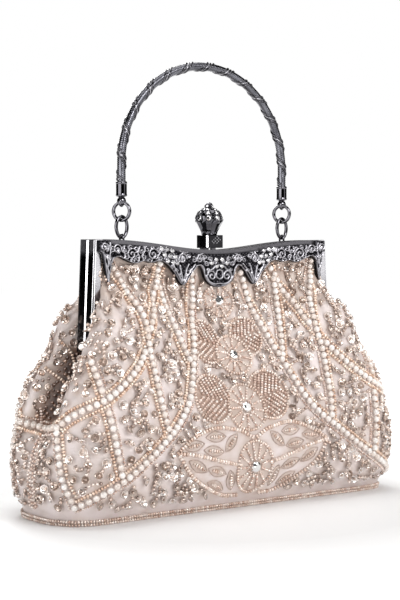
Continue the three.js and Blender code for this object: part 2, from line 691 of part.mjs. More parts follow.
addPouch();
addFrame();
addClasp();
addHandle();

export default clutch;
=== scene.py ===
import math

import bpy
import numpy as np
from mathutils import Matrix, Vector


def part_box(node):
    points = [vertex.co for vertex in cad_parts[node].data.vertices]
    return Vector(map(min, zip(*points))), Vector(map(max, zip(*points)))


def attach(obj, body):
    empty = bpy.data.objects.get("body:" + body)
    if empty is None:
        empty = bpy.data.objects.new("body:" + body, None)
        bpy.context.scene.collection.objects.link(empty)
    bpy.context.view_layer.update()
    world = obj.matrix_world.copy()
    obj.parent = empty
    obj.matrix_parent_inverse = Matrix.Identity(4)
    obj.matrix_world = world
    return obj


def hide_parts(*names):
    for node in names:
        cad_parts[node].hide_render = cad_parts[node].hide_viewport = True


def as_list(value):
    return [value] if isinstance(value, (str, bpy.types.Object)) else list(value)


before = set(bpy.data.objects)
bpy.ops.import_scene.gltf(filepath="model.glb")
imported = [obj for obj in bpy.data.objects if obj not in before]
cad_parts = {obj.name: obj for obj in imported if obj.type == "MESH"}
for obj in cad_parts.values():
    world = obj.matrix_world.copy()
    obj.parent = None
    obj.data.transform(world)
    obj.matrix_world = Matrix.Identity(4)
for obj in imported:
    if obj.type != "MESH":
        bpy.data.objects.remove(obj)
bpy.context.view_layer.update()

MM = 0.001
RNG = np.random.default_rng(7)
UP = np.array([0, 0, 1.0])
SIDES = (("left", -1), ("right", 1))


# Camera, fitted to the photo

AZIMUTH, PITCH, ROLL = (math.radians(angle) for angle in (-36.69, 1.89, -0.13))
AIM_HEIGHT, AIM_SHIFT = 118.23, 5.33
CAMERA_DISTANCE = 876.1
SENSOR_WIDTH, LENS = 36, 89.15


def add_camera():
    flat = math.cos(PITCH)
    forward = Vector((-math.sin(AZIMUTH) * flat, math.cos(AZIMUTH) * flat, -math.sin(PITCH)))
    right = Vector((math.cos(AZIMUTH), math.sin(AZIMUTH), 0))
    up = right.cross(forward)
    target = Vector((0, 0, AIM_HEIGHT)) - AIM_SHIFT * right
    place = (target - CAMERA_DISTANCE * forward) * MM
    image_right = right * math.cos(ROLL) + up * math.sin(ROLL)
    image_up = up * math.cos(ROLL) - right * math.sin(ROLL)
    data = bpy.data.cameras.new("camera")
    data.sensor_width = SENSOR_WIDTH
    data.lens = LENS
    camera = bpy.data.objects.new("camera", data)
    turn = Matrix((image_right, image_up, -forward)).transposed().to_4x4()
    camera.matrix_world = Matrix.Translation(place) @ turn
    bpy.context.collection.objects.link(camera)
    bpy.context.scene.camera = camera


add_camera()


# Materials

class Look:
    """A material with one Principled shader, and the nodes that feed it."""

    def __init__(self, name, **sockets):
        self.material = bpy.data.materials.new(name)
        self.material.use_nodes = True
        self.tree = self.material.node_tree
        self.shader = self.tree.nodes["Principled BSDF"]
        self.feed(**sockets)

    def fill(self, node, inputs):
        """Sets a node's inputs to values, or joins them to outputs of other nodes."""
        for name, value in inputs.items():
            socket = node.inputs[name.replace("_", " ")]
            if isinstance(value, bpy.types.NodeSocket):
                self.tree.links.new(value, socket)
            else:
                socket.default_value = (*value, 1) if isinstance(value, tuple) else value

    def feed(self, **inputs):
        self.fill(self.shader, inputs)

    def add(self, kind, output, settings=(), **inputs):
        node = self.tree.nodes.new("ShaderNode" + kind)
        for name, value in dict(settings).items():
            setattr(node, name, value)
        self.fill(node, inputs)
        return node.outputs[output]

    def combine(self, operation, *sources):
        node = self.tree.nodes.new("ShaderNodeMath")
        node.operation = operation
        for socket, source in zip(node.inputs, sources):
            self.tree.links.new(source, socket)
        return node.outputs["Value"]

    def coordinates(self, output="Object"):
        return self.add("TexCoord", output)

    def attribute(self, name):
        return self.add("Attribute", "Fac", {"attribute_name": name})

    def ramp(self, source, *stops):
        """Colours along a value from 0 to 1."""
        node = self.tree.nodes.new("ShaderNodeValToRGB")
        elements = node.color_ramp.elements
        while len(elements) < len(stops):
            elements.new(0.5)
        for element, (place, colour) in zip(elements, stops):
            element.position = place
            element.color = (*colour, 1)
        self.tree.links.new(source, node.inputs["Fac"])
        return node.outputs["Color"]

    def noise(self, scale, detail=2.0):
        return self.add("TexNoise", "Fac", Scale=scale, Detail=detail, Vector=self.coordinates())

    def bump(self, height, strength, distance=0.0002):
        self.feed(Normal=self.add("Bump", "Normal", Strength=strength, Distance=distance, Height=height))

    def scaled(self, source, low, high, start=0.0, end=1.0):
        """A value from start to end as one from low to high."""
        span = {"From_Min": start, "From_Max": end, "To_Min": low, "To_Max": high}
        return self.add("MapRange", "Result", Value=source, **span)


def satin_look():
    """Pale satin, browner where its attribute of brown share is high: painted shade in the fold, round the
    sewn beads and between the petals' bead rows, and browner in the leaves' lenses, the ovals and below the
    frame.
    """
    look = Look("satin", Roughness=0.42, Sheen_Weight=0.2, Sheen_Roughness=0.4)
    cloud = look.scaled(look.noise(90), -0.08, 0.08, 0.3, 0.7)
    # the dark end of this ramp paints the shade of the fold
    tone = look.ramp(
        look.combine("ADD", look.attribute("tint_and_shade"), cloud),
        (0.0, (0.79, 0.70, 0.685)),
        (0.25, (0.63, 0.515, 0.455)),
        (0.6, (0.34, 0.205, 0.145)),
        (1.0, (0.07, 0.031, 0.02)),
    )
    look.feed(Base_Color=tone)
    bands = {"bands_direction": "Z"}
    weave = look.add("TexWave", "Fac", bands, Scale=420.0, Distortion=1.5, Vector=look.coordinates())
    look.bump(weave, 0.25)
    return look.material


def bead_look(name, tones, grain, strength, depth=0.0002, **finish):
    """Beads that each have a tone of their own and a slightly uneven surface."""
    look = Look(name, **finish)
    own = look.add("NewGeometry", "Random Per Island")
    look.feed(Base_Color=look.ramp(own, *tones))
    look.bump(look.noise(grain), strength, depth)
    return look.material


def seed_look(name, *tones):
    finish = {"Roughness": 0.16, "Metallic": 0.15, "IOR": 1.6, "Coat_Weight": 0.8}
    return bead_look(name, tones, 1400, 0.08, **finish)


def crystal_look(name, dull, clear):
    finish = {"Roughness": 0.05, "Metallic": 0.85, "IOR": 1.8, "Coat_Weight": 0.8}
    return bead_look(name, [(0, dull), (1, clear)], 700, 0.04, **finish)


def thread_look():
    look = Look("thread", Roughness=0.5, Sheen_Weight=0.3)
    tone = look.ramp(look.noise(700), (0.3, (0.40, 0.28, 0.23)), (0.7, (0.58, 0.45, 0.39)))
    look.feed(Base_Color=tone)
    look.bump(look.noise(2500), 0.2)
    return look.material


def metal_look(name, dark, light, low, high):
    """Clouded metal between two tones, with roughness from low to high."""
    look = Look(name, Metallic=1.0, Coat_Weight=0.3, Coat_Roughness=0.08)
    cloud = look.noise(160, 4.0)
    tone = look.ramp(cloud, (0.3, dark), (0.7, light))
    look.feed(Base_Color=tone, Roughness=look.scaled(cloud, low, high))
    look.bump(look.noise(1500, 3.0), 0.06)
    return look.material


def relief_look():
    """Cast metal, dark in its hollows and worn bright on its ridges."""
    look = Look("antique_metal", Metallic=1.0, Roughness=0.3)
    tone = look.ramp(
        look.attribute("relief"),
        (0, (0.004, 0.004, 0.005)),
        (0.35, (0.012, 0.0115, 0.0135)),
        (0.65, (0.065, 0.062, 0.07)),
        (1, (0.40, 0.39, 0.415)),
    )
    look.feed(Base_Color=tone)
    look.bump(look.noise(900, 3.0), 0.15, 0.0003)
    return look.material


def frame_look():
    """Black nickel, with a painted reflection that makes it paler along the top bar and down the upper part
    of the legs' front faces.
    """
    look = Look("black_nickel", Metallic=1.0, Coat_Weight=0.15, Coat_Roughness=0.05)
    height = look.add("SeparateXYZ", "Z", Vector=look.coordinates())
    reach = look.combine("ABSOLUTE", look.add("SeparateXYZ", "X", Vector=look.coordinates()))
    facing = look.combine("ABSOLUTE", look.add("SeparateXYZ", "Y", Vector=look.coordinates("Normal")))
    # painted reflection: paler on the top bar, and on the legs' front faces, fading out downwards
    upper = look.scaled(height, 0.0, 0.45, 0.1435, 0.1475)
    reflection_fade = look.scaled(height, 0.0, 1.0, 0.105, 0.136)
    on_leg = look.scaled(reach, 0.0, 1.0, 0.0785, 0.0795)
    on_face = look.scaled(facing, 0.0, 1.0, 0.8, 0.95)
    leg_face = look.combine("MULTIPLY", look.combine("MULTIPLY", reflection_fade, on_leg), on_face)
    tone = look.ramp(
        look.combine("MAXIMUM", upper, leg_face),
        (0, (0.03, 0.029, 0.033)),
        (0.45, (0.12, 0.115, 0.125)),
        (1, (0.52, 0.51, 0.53)),
    )
    look.feed(Base_Color=tone, Roughness=look.scaled(upper, 0.12, 0.36, 0.0, 0.45))
    look.bump(look.noise(1500, 3.0), 0.05)
    return look.material


def floor_look():
    """White sweep that glows towards its edges and takes the object's shadow in the middle."""
    look = Look("floor", Roughness=0.6, Emission_Color=(1, 1, 1))
    tone = look.ramp(look.noise(3), (0.3, (0.88, 0.88, 0.88)), (0.7, (0.90, 0.90, 0.90)))
    reach = look.add("VectorMath", "Value", {"operation": "LENGTH"}, Vector=look.coordinates())
    look.feed(Base_Color=tone, Emission_Strength=look.scaled(reach, 0.07, 1.0, 0.13, 0.39))
    return look.material


SATIN = satin_look()
PEARL = bead_look(
    "pearl", [(0, (0.75, 0.64, 0.57)), (0.5, (0.85, 0.765, 0.71)), (1, (0.915, 0.865, 0.83))], 900, 0.06,
    Roughness=0.22, IOR=1.6, Coat_Weight=0.7, Coat_Roughness=0.1, Sheen_Weight=0.1,
)
SEED = seed_look("rose_seed", (0, (0.54, 0.36, 0.28)), (0.5, (0.80, 0.62, 0.53)), (1, (0.95, 0.86, 0.80)))
PEACH_SEED = seed_look(
    "peach_seed", (0, (0.58, 0.36, 0.245)), (0.4, (0.81, 0.59, 0.455)), (1, (0.96, 0.83, 0.71))
)
PALE_SEED = seed_look(
    "pale_seed", (0, (0.60, 0.42, 0.33)), (0.4, (0.77, 0.60, 0.505)), (1, (0.94, 0.84, 0.775))
)
# darker copy of the beads for the fold: painted shade
FOLD_SHADE_SEED = seed_look(
    "fold_shade_seed", (0, (0.07, 0.032, 0.02)), (0.55, (0.21, 0.11, 0.07)), (1, (0.52, 0.34, 0.24))
)
GLASS_BEAD = bead_look(
    "smoky_seed", [(0, (0.24, 0.16, 0.125)), (0.45, (0.52, 0.39, 0.32)), (1, (0.82, 0.71, 0.64))], 1400, 0.08,
    Roughness=0.1, Metallic=0.3, IOR=1.6, Coat_Weight=0.9,
)
THREAD = thread_look()
SEQUIN = bead_look(
    "sequin", [(0, (0.40, 0.315, 0.265)), (0.5, (0.60, 0.505, 0.45)), (1, (0.83, 0.775, 0.74))], 500, 0.1,
    0.0003, Roughness=0.16, Metallic=0.6, Coat_Weight=0.6,
)
CRYSTAL = crystal_look("crystal", (0.42, 0.41, 0.42), (0.76, 0.75, 0.76))
CLEAR_CRYSTAL = crystal_look("clear_crystal", (0.74, 0.72, 0.71), (0.95, 0.93, 0.92))
GUNMETAL = metal_look("gunmetal", (0.035, 0.034, 0.039), (0.08, 0.078, 0.088), 0.12, 0.22)
BLACK_METAL = metal_look("black_metal", (0.035, 0.034, 0.038), (0.06, 0.058, 0.065), 0.1, 0.18)
# paler metal for painted highlights: the top bar's edges, the sleeve's diamonds and the rope's bright strand
GLINT_METAL = metal_look("glint_metal", (0.10, 0.098, 0.105), (0.30, 0.295, 0.31), 0.1, 0.2)
# pale metal for edges and ridges: painted highlight lines
EDGE_GLINT_METAL = metal_look("edge_glint", (0.55, 0.54, 0.56), (0.80, 0.79, 0.81), 0.18, 0.3)
POLISHED = metal_look("polished_black", (0.055, 0.053, 0.06), (0.10, 0.097, 0.108), 0.05, 0.1)
JET_METAL = metal_look("jet_metal", (0.012, 0.0115, 0.0135), (0.022, 0.021, 0.024), 0.1, 0.18)
ROPE_METAL = metal_look("rope_metal", (0.06, 0.06, 0.069), (0.13, 0.13, 0.146), 0.2, 0.3)
RELIEF = relief_look()
FRAME_METAL = frame_look()


# Mesh helpers

def make_mesh(name, points, face_groups):
    mesh = bpy.data.meshes.new(name)
    mesh.vertices.add(len(points))
    mesh.vertices.foreach_set("co", (np.asarray(points, float) * MM).ravel())
    groups = [np.asarray(group, dtype=np.int32) for group in face_groups if len(group)]
    corners = np.concatenate([group.ravel() for group in groups])
    counts = np.concatenate([np.full(len(group), group.shape[1]) for group in groups])
    starts = np.concatenate([[0], np.cumsum(counts)[:-1]])
    mesh.loops.add(len(corners))
    mesh.loops.foreach_set("vertex_index", corners)
    mesh.polygons.add(len(counts))
    mesh.polygons.foreach_set("loop_start", starts.astype(np.int32))
    mesh.update(calc_edges=True)
    mesh.validate()
    return mesh


def add_piece(mesh, look, slot="gunmetal", body="bag", replaced=(), smooth=True):
    mesh.polygons.foreach_set("use_smooth", np.full(len(mesh.polygons), smooth))
    mesh.materials.append(look)
    piece = bpy.data.objects.new(mesh.name, mesh)
    bpy.context.collection.objects.link(piece)
    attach(piece, body)
    if replaced:
        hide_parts(*replaced)
    return piece


def add_shape(name, shape, look, slot="gunmetal", **settings):
    return add_piece(make_mesh(name, *shape), look, slot, **settings)


def shade_points(mesh, name, values):
    """Value at each point that a material reads by its name."""
    attribute = mesh.attributes.new(name, "FLOAT", "POINT")
    attribute.data.foreach_set("value", values.astype(np.float32))


def box_mm(node):
    """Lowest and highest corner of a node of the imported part."""
    low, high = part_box(node)
    return np.array(low) / MM, np.array(high) / MM


def as_built(points):
    return points


def turned_back(points):
    return points * np.array([-1.0, -1.0, 1.0])


FACES = (("front", as_built), ("back", turned_back))


def merge(parts):
    """Points and faces of several shapes as one."""
    points, groups, start = [], [], 0
    for part_points, part_groups in parts:
        points.append(part_points)
        groups += [np.asarray(group) + start for group in part_groups if len(group)]
        start += len(part_points)
    return np.concatenate(points), groups


def unit(vectors):
    return vectors / np.maximum(np.linalg.norm(vectors, axis=-1, keepdims=True), 1e-9)


def angles(count):
    """Even angles of one full turn."""
    return 2 * np.pi * np.arange(count) / count


def flat_direction(angle):
    return np.array([math.cos(angle), math.sin(angle), 0])


def grid_faces(rows, columns, closed=False):
    i, j = np.meshgrid(np.arange(rows - 1), np.arange(columns if closed else columns - 1), indexing="ij")
    k = (j + 1) % columns
    quads = np.stack([i * columns + j, i * columns + k, (i + 1) * columns + k, (i + 1) * columns + j], -1)
    return quads.reshape(-1, 4)


def end_caps(rings, sides):
    first = np.arange(sides)[None]
    return [first[:, ::-1], first + (rings - 1) * sides]


def sweep(path, section, sideways, loop=False):
    """Tube of a section, or of one section for each station, along a path. sideways is the direction
    of the section's first axis, and its second axis completes it with the path's direction."""
    along = np.roll(path, -1, 0) - np.roll(path, 1, 0) if loop else np.gradient(path, axis=0)
    along = along / np.linalg.norm(along, axis=1, keepdims=True)
    other = np.cross(along, sideways)
    section = np.broadcast_to(section, (len(path), *section.shape[-2:]))
    rings = path[:, None] + section[..., :1] * sideways[:, None] + section[..., 1:] * other[:, None]
    count, sides = section.shape[:2]
    groups = [grid_faces(count, sides, closed=True)]
    if loop:
        first = np.arange(sides)
        last = first + (count - 1) * sides
        groups.append(np.stack([last, np.roll(last, -1), np.roll(first, -1), first], -1))
    else:
        groups += end_caps(count, sides)
    return rings.reshape(-1, 3), groups


def circle(radius, sides):
    angle = angles(sides)
    return radius * np.stack([np.cos(angle), np.sin(angle)], -1)


def lathe(profile, sides, centre=(0, 0, 0)):
    """Turned shape about the vertical, through radius and height at each level."""
    profile = np.asarray(profile, float)
    ring = np.insert(circle(1, sides), 2, 0, axis=1)
    rings = profile[:, None, :1] * ring[None] + profile[:, None, 1:] * UP
    groups = [grid_faces(len(profile), sides, closed=True), *end_caps(len(profile), sides)]
    return rings.reshape(-1, 3) + np.asarray(centre, float), groups


def ball(around, levels):
    """Unit ball with its poles on the third axis."""
    angle = angles(around)
    rise = np.pi * np.arange(1, levels)[:, None] / levels
    flat = np.ones(around)
    rings = np.stack([np.sin(rise) * np.cos(angle), np.sin(rise) * np.sin(angle), -np.cos(rise) * flat], -1)
    rings = rings.reshape(-1, 3)
    points = np.concatenate([rings, [-UP, UP]])
    k = np.arange(around)
    n = (k + 1) % around
    top = (levels - 2) * around
    low = np.stack([np.full(around, len(rings)), n, k], -1)
    high = np.stack([np.full(around, len(rings) + 1), k + top, n + top], -1)
    return points, [grid_faces(levels - 1, around, closed=True), low, high]


def sequin(around):
    """Deep cup of unit radius, closed on both sides."""
    outside = [(0.2, -0.1), (0.6, -0.05), (0.9, 0.16), (1.0, 0.4)]
    inside = [(0.94, 0.42), (0.82, 0.26), (0.55, 0.06), (0.2, 0.0)]
    return lathe(outside + inside, around)


def brilliant(around):
    """Faceted stone of unit radius on its girdle."""
    levels = [(0.5, -0.35), (1.0, 0.0), (1.0, 0.12), (0.86, 0.34), (0.55, 0.55)]
    crown = 3
    points = []
    for i, (radius, height) in enumerate(levels):
        angle = angles(around) + (np.pi / around if i == crown else 0)
        points.append(np.stack([radius * np.cos(angle), radius * np.sin(angle), np.full(around, height)], -1))
    k = np.arange(around)
    n = (k + 1) % around
    a, b, c = k + 2 * around, k + 3 * around, k + 4 * around
    a2, b2, c2 = n + 2 * around, n + 3 * around, n + 4 * around
    triangles = np.concatenate(
        [np.stack(corners, -1) for corners in ((a, a2, b), (b, a2, b2), (b, c2, c), (b, b2, c2))]
    )
    return np.concatenate(points), [grid_faces(3, around, closed=True), triangles, *end_caps(5, around)]


def instances(template, centres, axes, scales):
    """Copies of a template. axes holds three directions for each copy, scales one size along each."""
    shape, groups = template
    points = np.asarray(centres)[:, None].repeat(len(shape), 1)
    for k in range(3):
        points = points + shape[None, :, k, None] * axes[k][:, None] * scales[:, None, k, None]
    shift = (np.arange(len(centres)) * len(shape))[:, None, None]
    copies = [(np.asarray(group)[None] + shift).reshape(-1, np.shape(group)[1]) for group in groups]
    return points.reshape(-1, 3), copies


def front_facing(template, centres, size):
    """Copies of a template that face the front."""
    axes = [np.tile(axis, (len(centres), 1)).astype(float) for axis in ((1, 0, 0), (0, 0, 1), (0, -1, 0))]
    return instances(template, centres, axes, np.tile(size, (len(centres), 1)))


# Surface of the pouch: a smooth net through the same sections as the part's panels

FRAME_HEIGHT = 153.7
FRAME_HALF_WIDTH = 84.2
FRAME_DIP = 6
SECTIONS = [
    # height, edge x, y, neck x, y, side x, y, corner x, y, middle y, share of the frame's dip
    (0, 118, 0.0, 118, 7, 114.5, 19, 101, 30, 31.2, 0),
    (4.5, 118.4, 0.0, 118.5, 7, 115.4, 19, 102, 31, 32, 0),
    (13, 119.6, 0.0, 120, 8, 118, 18.5, 103.5, 37.2, 38.3, 0),
    (27, 119.8, 0.0, 120.5, 9, 119.3, 20, 102, 41.3, 43.5, 0),
    (44, 113.5, 0.0, 116.6, 9, 118.3, 21, 100, 40.3, 42, 0),
    (60, 98.5, 0.0, 104.5, 8, 114.5, 21, 96.5, 38, 36.8, 0),
    (74, 88, 0.0, 93, 6.5, 108.5, 19, 92.5, 35, 30.5, 0),
    (82, 86, 1.2, 87.6, 6.5, 103, 17.5, 89, 32.8, 27, 0),
    (92, 85, 4.6, 80.2, 7.6, 97.5, 15.8, 85.5, 30, 21.4, 0),
    (108, 84.4, 4.8, 79.6, 7.4, 91.5, 16, 80.5, 25, 13, 0),
    (121, 83.8, 4.8, 79, 6.8, 83, 10.2, 74, 15, 8.4, 0.3),
    (135, 83.2, 4.8, 78.2, 5, 77, 5.4, 70, 6.4, 6, 0.8),
    (151.9, 82.5, 4.8, 78, 4.8, 75.5, 4.8, 68, 4.8, 4.8, 1),
]


def frame_dip(x):
    wave = (1 + np.cos(np.pi * np.clip(np.abs(x) / FRAME_HALF_WIDTH, 0, 1))) / 2
    return FRAME_DIP * wave**1.3


def frame_top(x):
    return FRAME_HEIGHT - frame_dip(x)


def section_points(row):
    height, ex, ey, nx, ny, sx, sy, cx, cy, my, follow = row
    half = [(ex, ey), (nx, ny), (sx, sy), (cx, cy), (cx / 2, my + (cy - my) / 4)]
    outline = [(-x, -y) for x, y in half] + [(0, -my)] + [(x, -y) for x, y in half[::-1]]
    return [(x, y, height - follow * frame_dip(x)) for x, y in outline]


NET = np.array([section_points(row) for row in SECTIONS], float)


def smooth_weights(count, t):
    """Weights of count knots of a smooth curve at each t from 0 to 1."""
    t = np.asarray(t, float) * (count - 1)
    k = np.clip(np.floor(t).astype(int), 0, count - 2)
    f = t - k
    shares = (
        (-f + 2 * f**2 - f**3) / 2,
        (2 - 5 * f**2 + 3 * f**3) / 2,
        (f + 4 * f**2 - 3 * f**3) / 2,
        (-(f**2) + f**3) / 2,
    )
    spread = np.zeros((len(t), count + 2))
    for step, share in enumerate(shares):
        spread[np.arange(len(t)), k + step] += share
    weights = spread[:, 1:-1].copy()
    weights[:, 0] += 2 * spread[:, 0]
    weights[:, 1] -= spread[:, 0]
    weights[:, -1] += 2 * spread[:, -1]
    weights[:, -2] -= spread[:, -1]
    return weights


def smooth_line(knots, samples=240):
    knots = np.asarray(knots, float)
    return smooth_weights(len(knots), np.linspace(0, 1, samples)) @ knots


def grid_normals(points):
    return unit(np.cross(np.gradient(points, axis=1), np.gradient(points, axis=0)))


TABLE_ROWS, TABLE_COLUMNS = 320, 561
MIDDLE = TABLE_COLUMNS // 2
GATHER_DEPTH, GATHER_PITCH = 0.9, 8.3
SLACK_DEPTH = 0.7
SEAM_MARGIN = 14
COLUMN_STEPS, HEIGHT_STEPS = 16, 4
LEAST_CLIMB = 0.05


def share_of(value, start, end):
    """How far a value has come from start to end, from 0 to 1."""
    return np.clip((value - start) / (end - start), 0, 1)


def pouch_table():
    """Dense grid of the front half: places, normals, and distance round each row from the middle."""
    up = smooth_weights(len(NET), np.linspace(0, 1, TABLE_ROWS))
    across = smooth_weights(NET.shape[1], np.linspace(0, 1, TABLE_COLUMNS))
    places = np.einsum("vi,uj,ijk->vuk", up, across, NET)
    steps = np.linalg.norm(np.diff(places, axis=1), axis=2)
    length = np.concatenate([np.zeros((TABLE_ROWS, 1)), np.cumsum(steps, axis=1)], axis=1)
    distance = length - length[:, [MIDDLE]]
    height = places[..., 2]
    inside = np.clip(np.minimum(length, length[:, [-1]] - length) / SEAM_MARGIN, 0, 1)
    # gathers that hang from the frame and die out on the swell of the pouch
    rise = share_of(height, 146, 132) * share_of(height, 88, 122) ** 1.5
    phase = 2 * np.pi * distance / GATHER_PITCH + 1.3 * np.sin(distance / 23)
    gathers = GATHER_DEPTH * rise * np.sin(phase)
    # slack of the cloth below them
    slack = SLACK_DEPTH * np.sin(distance / 9.1 + height / 14) * np.sin(height / 8.7 - distance / 31)
    slack *= share_of(height, 0, 16) * share_of(height, 120, 90)
    places = places + grid_normals(places) * ((gathers + slack) * inside)[..., None]
    return places, grid_normals(places), distance


PLACES, NORMALS, DISTANCE = pouch_table()
CLIMB = np.gradient(PLACES[..., 2], axis=0)
ROUND = np.gradient(PLACES, axis=1)
WIDEST = MIDDLE + np.argmax(PLACES[:, MIDDLE:, 0], axis=1)


def lookup(table, row, column):
    row = np.clip(row, 0, TABLE_ROWS - 1.001)
    column = np.clip(column, 0, TABLE_COLUMNS - 1.001)
    i, j = row.astype(int), column.astype(int)
    a, b = row - i, column - j
    if table.ndim == 3:
        a, b = a[:, None], b[:, None]
    low = table[i, j] * (1 - b) + table[i, j + 1] * b
    high = table[i + 1, j] * (1 - b) + table[i + 1, j + 1] * b
    return low * (1 - a) + high * a


def search(table, row, wanted, low, high):
    """Column of each row where a rising value is met."""
    for step in range(COLUMN_STEPS):
        middle = (low + high) / 2
        below = lookup(table, row, middle) < wanted
        low = np.where(below, middle, low)
        high = np.where(below, high, middle)
    return (low + high) / 2


def find(table, wanted, height, low, high):
    """Row and column of the table where a value and a height are met. low and high give the columns
    to search between."""
    row = np.interp(height, PLACES[:, MIDDLE, 2], np.arange(TABLE_ROWS))
    for step in range(HEIGHT_STEPS):
        column = search(table, row, wanted, low(row), high(row))
        miss = height - lookup(PLACES[..., 2], row, column)
        slope = np.maximum(lookup(CLIMB, row, column), LEAST_CLIMB)
        row = np.clip(row + miss / slope, 0, TABLE_ROWS - 1)
    return row, column


def spot(distance, height, lift=0.0):
    """Place and three directions (round, up, out) on the front of the pouch."""
    distance = np.atleast_1d(np.asarray(distance, float))
    height = np.atleast_1d(np.asarray(height, float)) + 0 * distance
    start = lambda row: np.zeros(len(row))
    end = lambda row: np.full(len(row), TABLE_COLUMNS - 1.0)
    row, column = find(DISTANCE, distance, height, start, end)
    out = unit(lookup(NORMALS, row, column))
    east = unit(lookup(ROUND, row, column))
    place = lookup(PLACES, row, column) + out * np.reshape(lift, (-1, 1))
    return place, (east, np.cross(out, east), out)


def round_to(x, height):
    """Distance round the pouch to the place that is seen at x from the front."""
    start = lambda row: np.full(len(row), float(MIDDLE))
    end = lambda row: np.interp(row, np.arange(TABLE_ROWS), WIDEST)
    row, column = find(PLACES[..., 0], np.abs(x), height, start, end)
    return np.sign(x) * lookup(DISTANCE, row, column)


def seam_distance(height):
    """Distance round the pouch from the middle to the side seam."""
    return np.interp(height, PLACES[:, -1, 2], DISTANCE[:, -1])


def even_steps(line, pitch):
    """Points along a line on the pouch, about a pitch apart."""
    place = spot(line[:, 0], line[:, 1])[0]
    length = np.concatenate([[0], np.cumsum(np.linalg.norm(np.diff(place, axis=0), axis=1))])
    count = max(int(round(length[-1] / pitch)), 1)
    at = np.linspace(0, length[-1], count + 1)
    return np.stack([np.interp(at, length, line[:, k]) for k in (0, 1)], -1)


def beside(line, offset):
    along = unit(np.gradient(line, axis=0))
    return line + offset * np.stack([along[:, 1], -along[:, 0]], -1)


def front_line(knots, side):
    """Smooth line on the pouch through knots given by x and height."""
    x, height = np.asarray(knots, float).T
    return smooth_line(np.stack([side * round_to(x, height), height], -1))


# Lower edge of the cast ornament

ORNAMENT_OUTLINE = [
    # distance from the middle, drop below the corners
    (0, 27.7), (6, 26.6), (10.2, 23), (12.4, 17.6), (14.8, 15.4), (18.6, 18.4), (26, 26.4), (33, 18.6),
    (38.5, 13.6), (43, 12.4), (48, 13.4), (53, 12.5), (58, 13.6), (63, 12.8), (68, 10.8), (71.4, 10),
    (74.2, 12.4), (75.6, 19), (77, 25.4), (78.4, 20), (79.6, 13), (80.8, 8.4), (83.4, 6.4),
]
ORNAMENT_REACH = 83.2


def ornament_lower(x):
    both = [(-a, b) for a, b in ORNAMENT_OUTLINE[:0:-1]] + ORNAMENT_OUTLINE
    line = smooth_line(both, 800)
    order = np.argsort(line[:, 0])
    return FRAME_HEIGHT - np.interp(x, line[order, 0], line[order, 1])


# Beads: each list holds rows of places, three directions and half-sizes

CHUNK = 400


class Beads:
    def __init__(self):
        self.rows = []

    def add_row(self, line, pitch, lift, size):
        """Beads along a line, turned so that each one's first axis follows it."""
        points = even_steps(line, pitch)
        place, (east, north, out) = spot(points[:, 0], points[:, 1], lift)
        along = unit(np.gradient(place, axis=0)) if len(place) > 1 else east
        along = unit(along - out * np.sum(along * out, axis=1, keepdims=True))
        self.add_at(place, (along, np.cross(out, along), out), np.tile(size, (len(points), 1)))

    def add_at(self, place, axes, scales):
        self.rows.append((place, *axes, np.asarray(scales, float)))

    def add_ball(self, place, axes, radius):
        self.add_at(place, axes, np.full((1, 3), radius))

    def all(self):
        return [np.concatenate(column) for column in zip(*self.rows)]

    def places(self):
        return self.all()[0]

    def keep(self, mask):
        self.rows = [tuple(column[mask] for column in self.all())]

    def copies(self, template, own=slice(None)):
        """The beads, or some of them, as one shape."""
        place, east, north, out, scales = (column[own] for column in self.all())
        return instances(template, place, (east, north, out), scales)


def places_of(*lists):
    return np.concatenate([beads.places() for beads in lists])


def nearest(points, others):
    """Distance from each point to the nearest of the others."""
    best = np.full(len(points), 1e9)
    for start in range(0, len(points), CHUNK):
        part = points[start:start + CHUNK]
        if len(others):
            best[start:start + CHUNK] = np.linalg.norm(part[:, None] - others[None], axis=2).min(axis=1)
    return best


def drop_doubled(beads, spacing):
    """Leaves out beads that would sit in an earlier one."""
    places = beads.places()
    keep = np.ones(len(places), bool)
    for start in range(0, len(places), CHUNK):
        gaps = np.linalg.norm(places[start:start + CHUNK, None] - places[None], axis=2)
        for i, row in enumerate(gaps):
            close = np.flatnonzero(row < spacing)
            keep[start + i] = not np.any(keep[close[close < start + i]])
    beads.keep(keep)


PEARL_ROUTES = {
    # x and height from the top of each band to its foot, on the right
    "sweep": [
        (17.4, 134), (22, 114), (29, 91), (36, 74), (43, 61), (52, 51), (63, 43), (84, 28.5), (112, 11.5),
    ],
    "first_brace": [(74, 141), (68, 127), (63, 113), (62, 100), (62.5, 88), (62, 72), (59, 46)],
    "second_brace": [(39.5, 140), (47, 124.5), (58, 104), (71, 86), (92, 70), (110, 60.5), (116, 53)],
    "inner_brace": [(42, 138), (41, 118), (38, 102), (33, 82)],
    "outer_brace": [(97, 87), (97.5, 72), (94.5, 50), (91, 24)],
    "corner_brace": [(116, 54), (117, 40), (116, 25), (112, 11.5)],
}

# Rows of beads: pitch along the row, lift off the cloth, half-sizes along, across and out
PEARL_ROW = (4.1, 1.4, (1.92, 1.92, 1.92))
EDGING_ROW = (1.7, 0.7, (0.84, 1.22, 1.15))
SLIM_ROW = (1.5, 0.55, (0.66, 0.8, 0.8))
OUTLINE_ROW = (1.75, 0.75, (0.7, 1.16, 1.08))
FORK_ROW = (1.75, 0.7, (0.7, 1.16, 1.08))
CHEVRON_ROW = (1.5, 0.6, (0.74, 0.92, 0.88))
SPOKE_ROW = (1.5, 0.55, (0.74, 0.92, 0.88))
STONE_ROW = (1.3, 0.7, (0.62, 0.64, 0.8))
LEAF_ROW = (1.95, 0.85, (0.82, 1.5, 1.3))
SEAM_ROW = (2.1, 0.7, (0.95, 1.05, 1.0))
BASE_ROW = (1.6, 0.85, (0.72, 0.98, 0.98))
EDGING_OFFSET = 3.0
ROW_MARGIN = 1.7

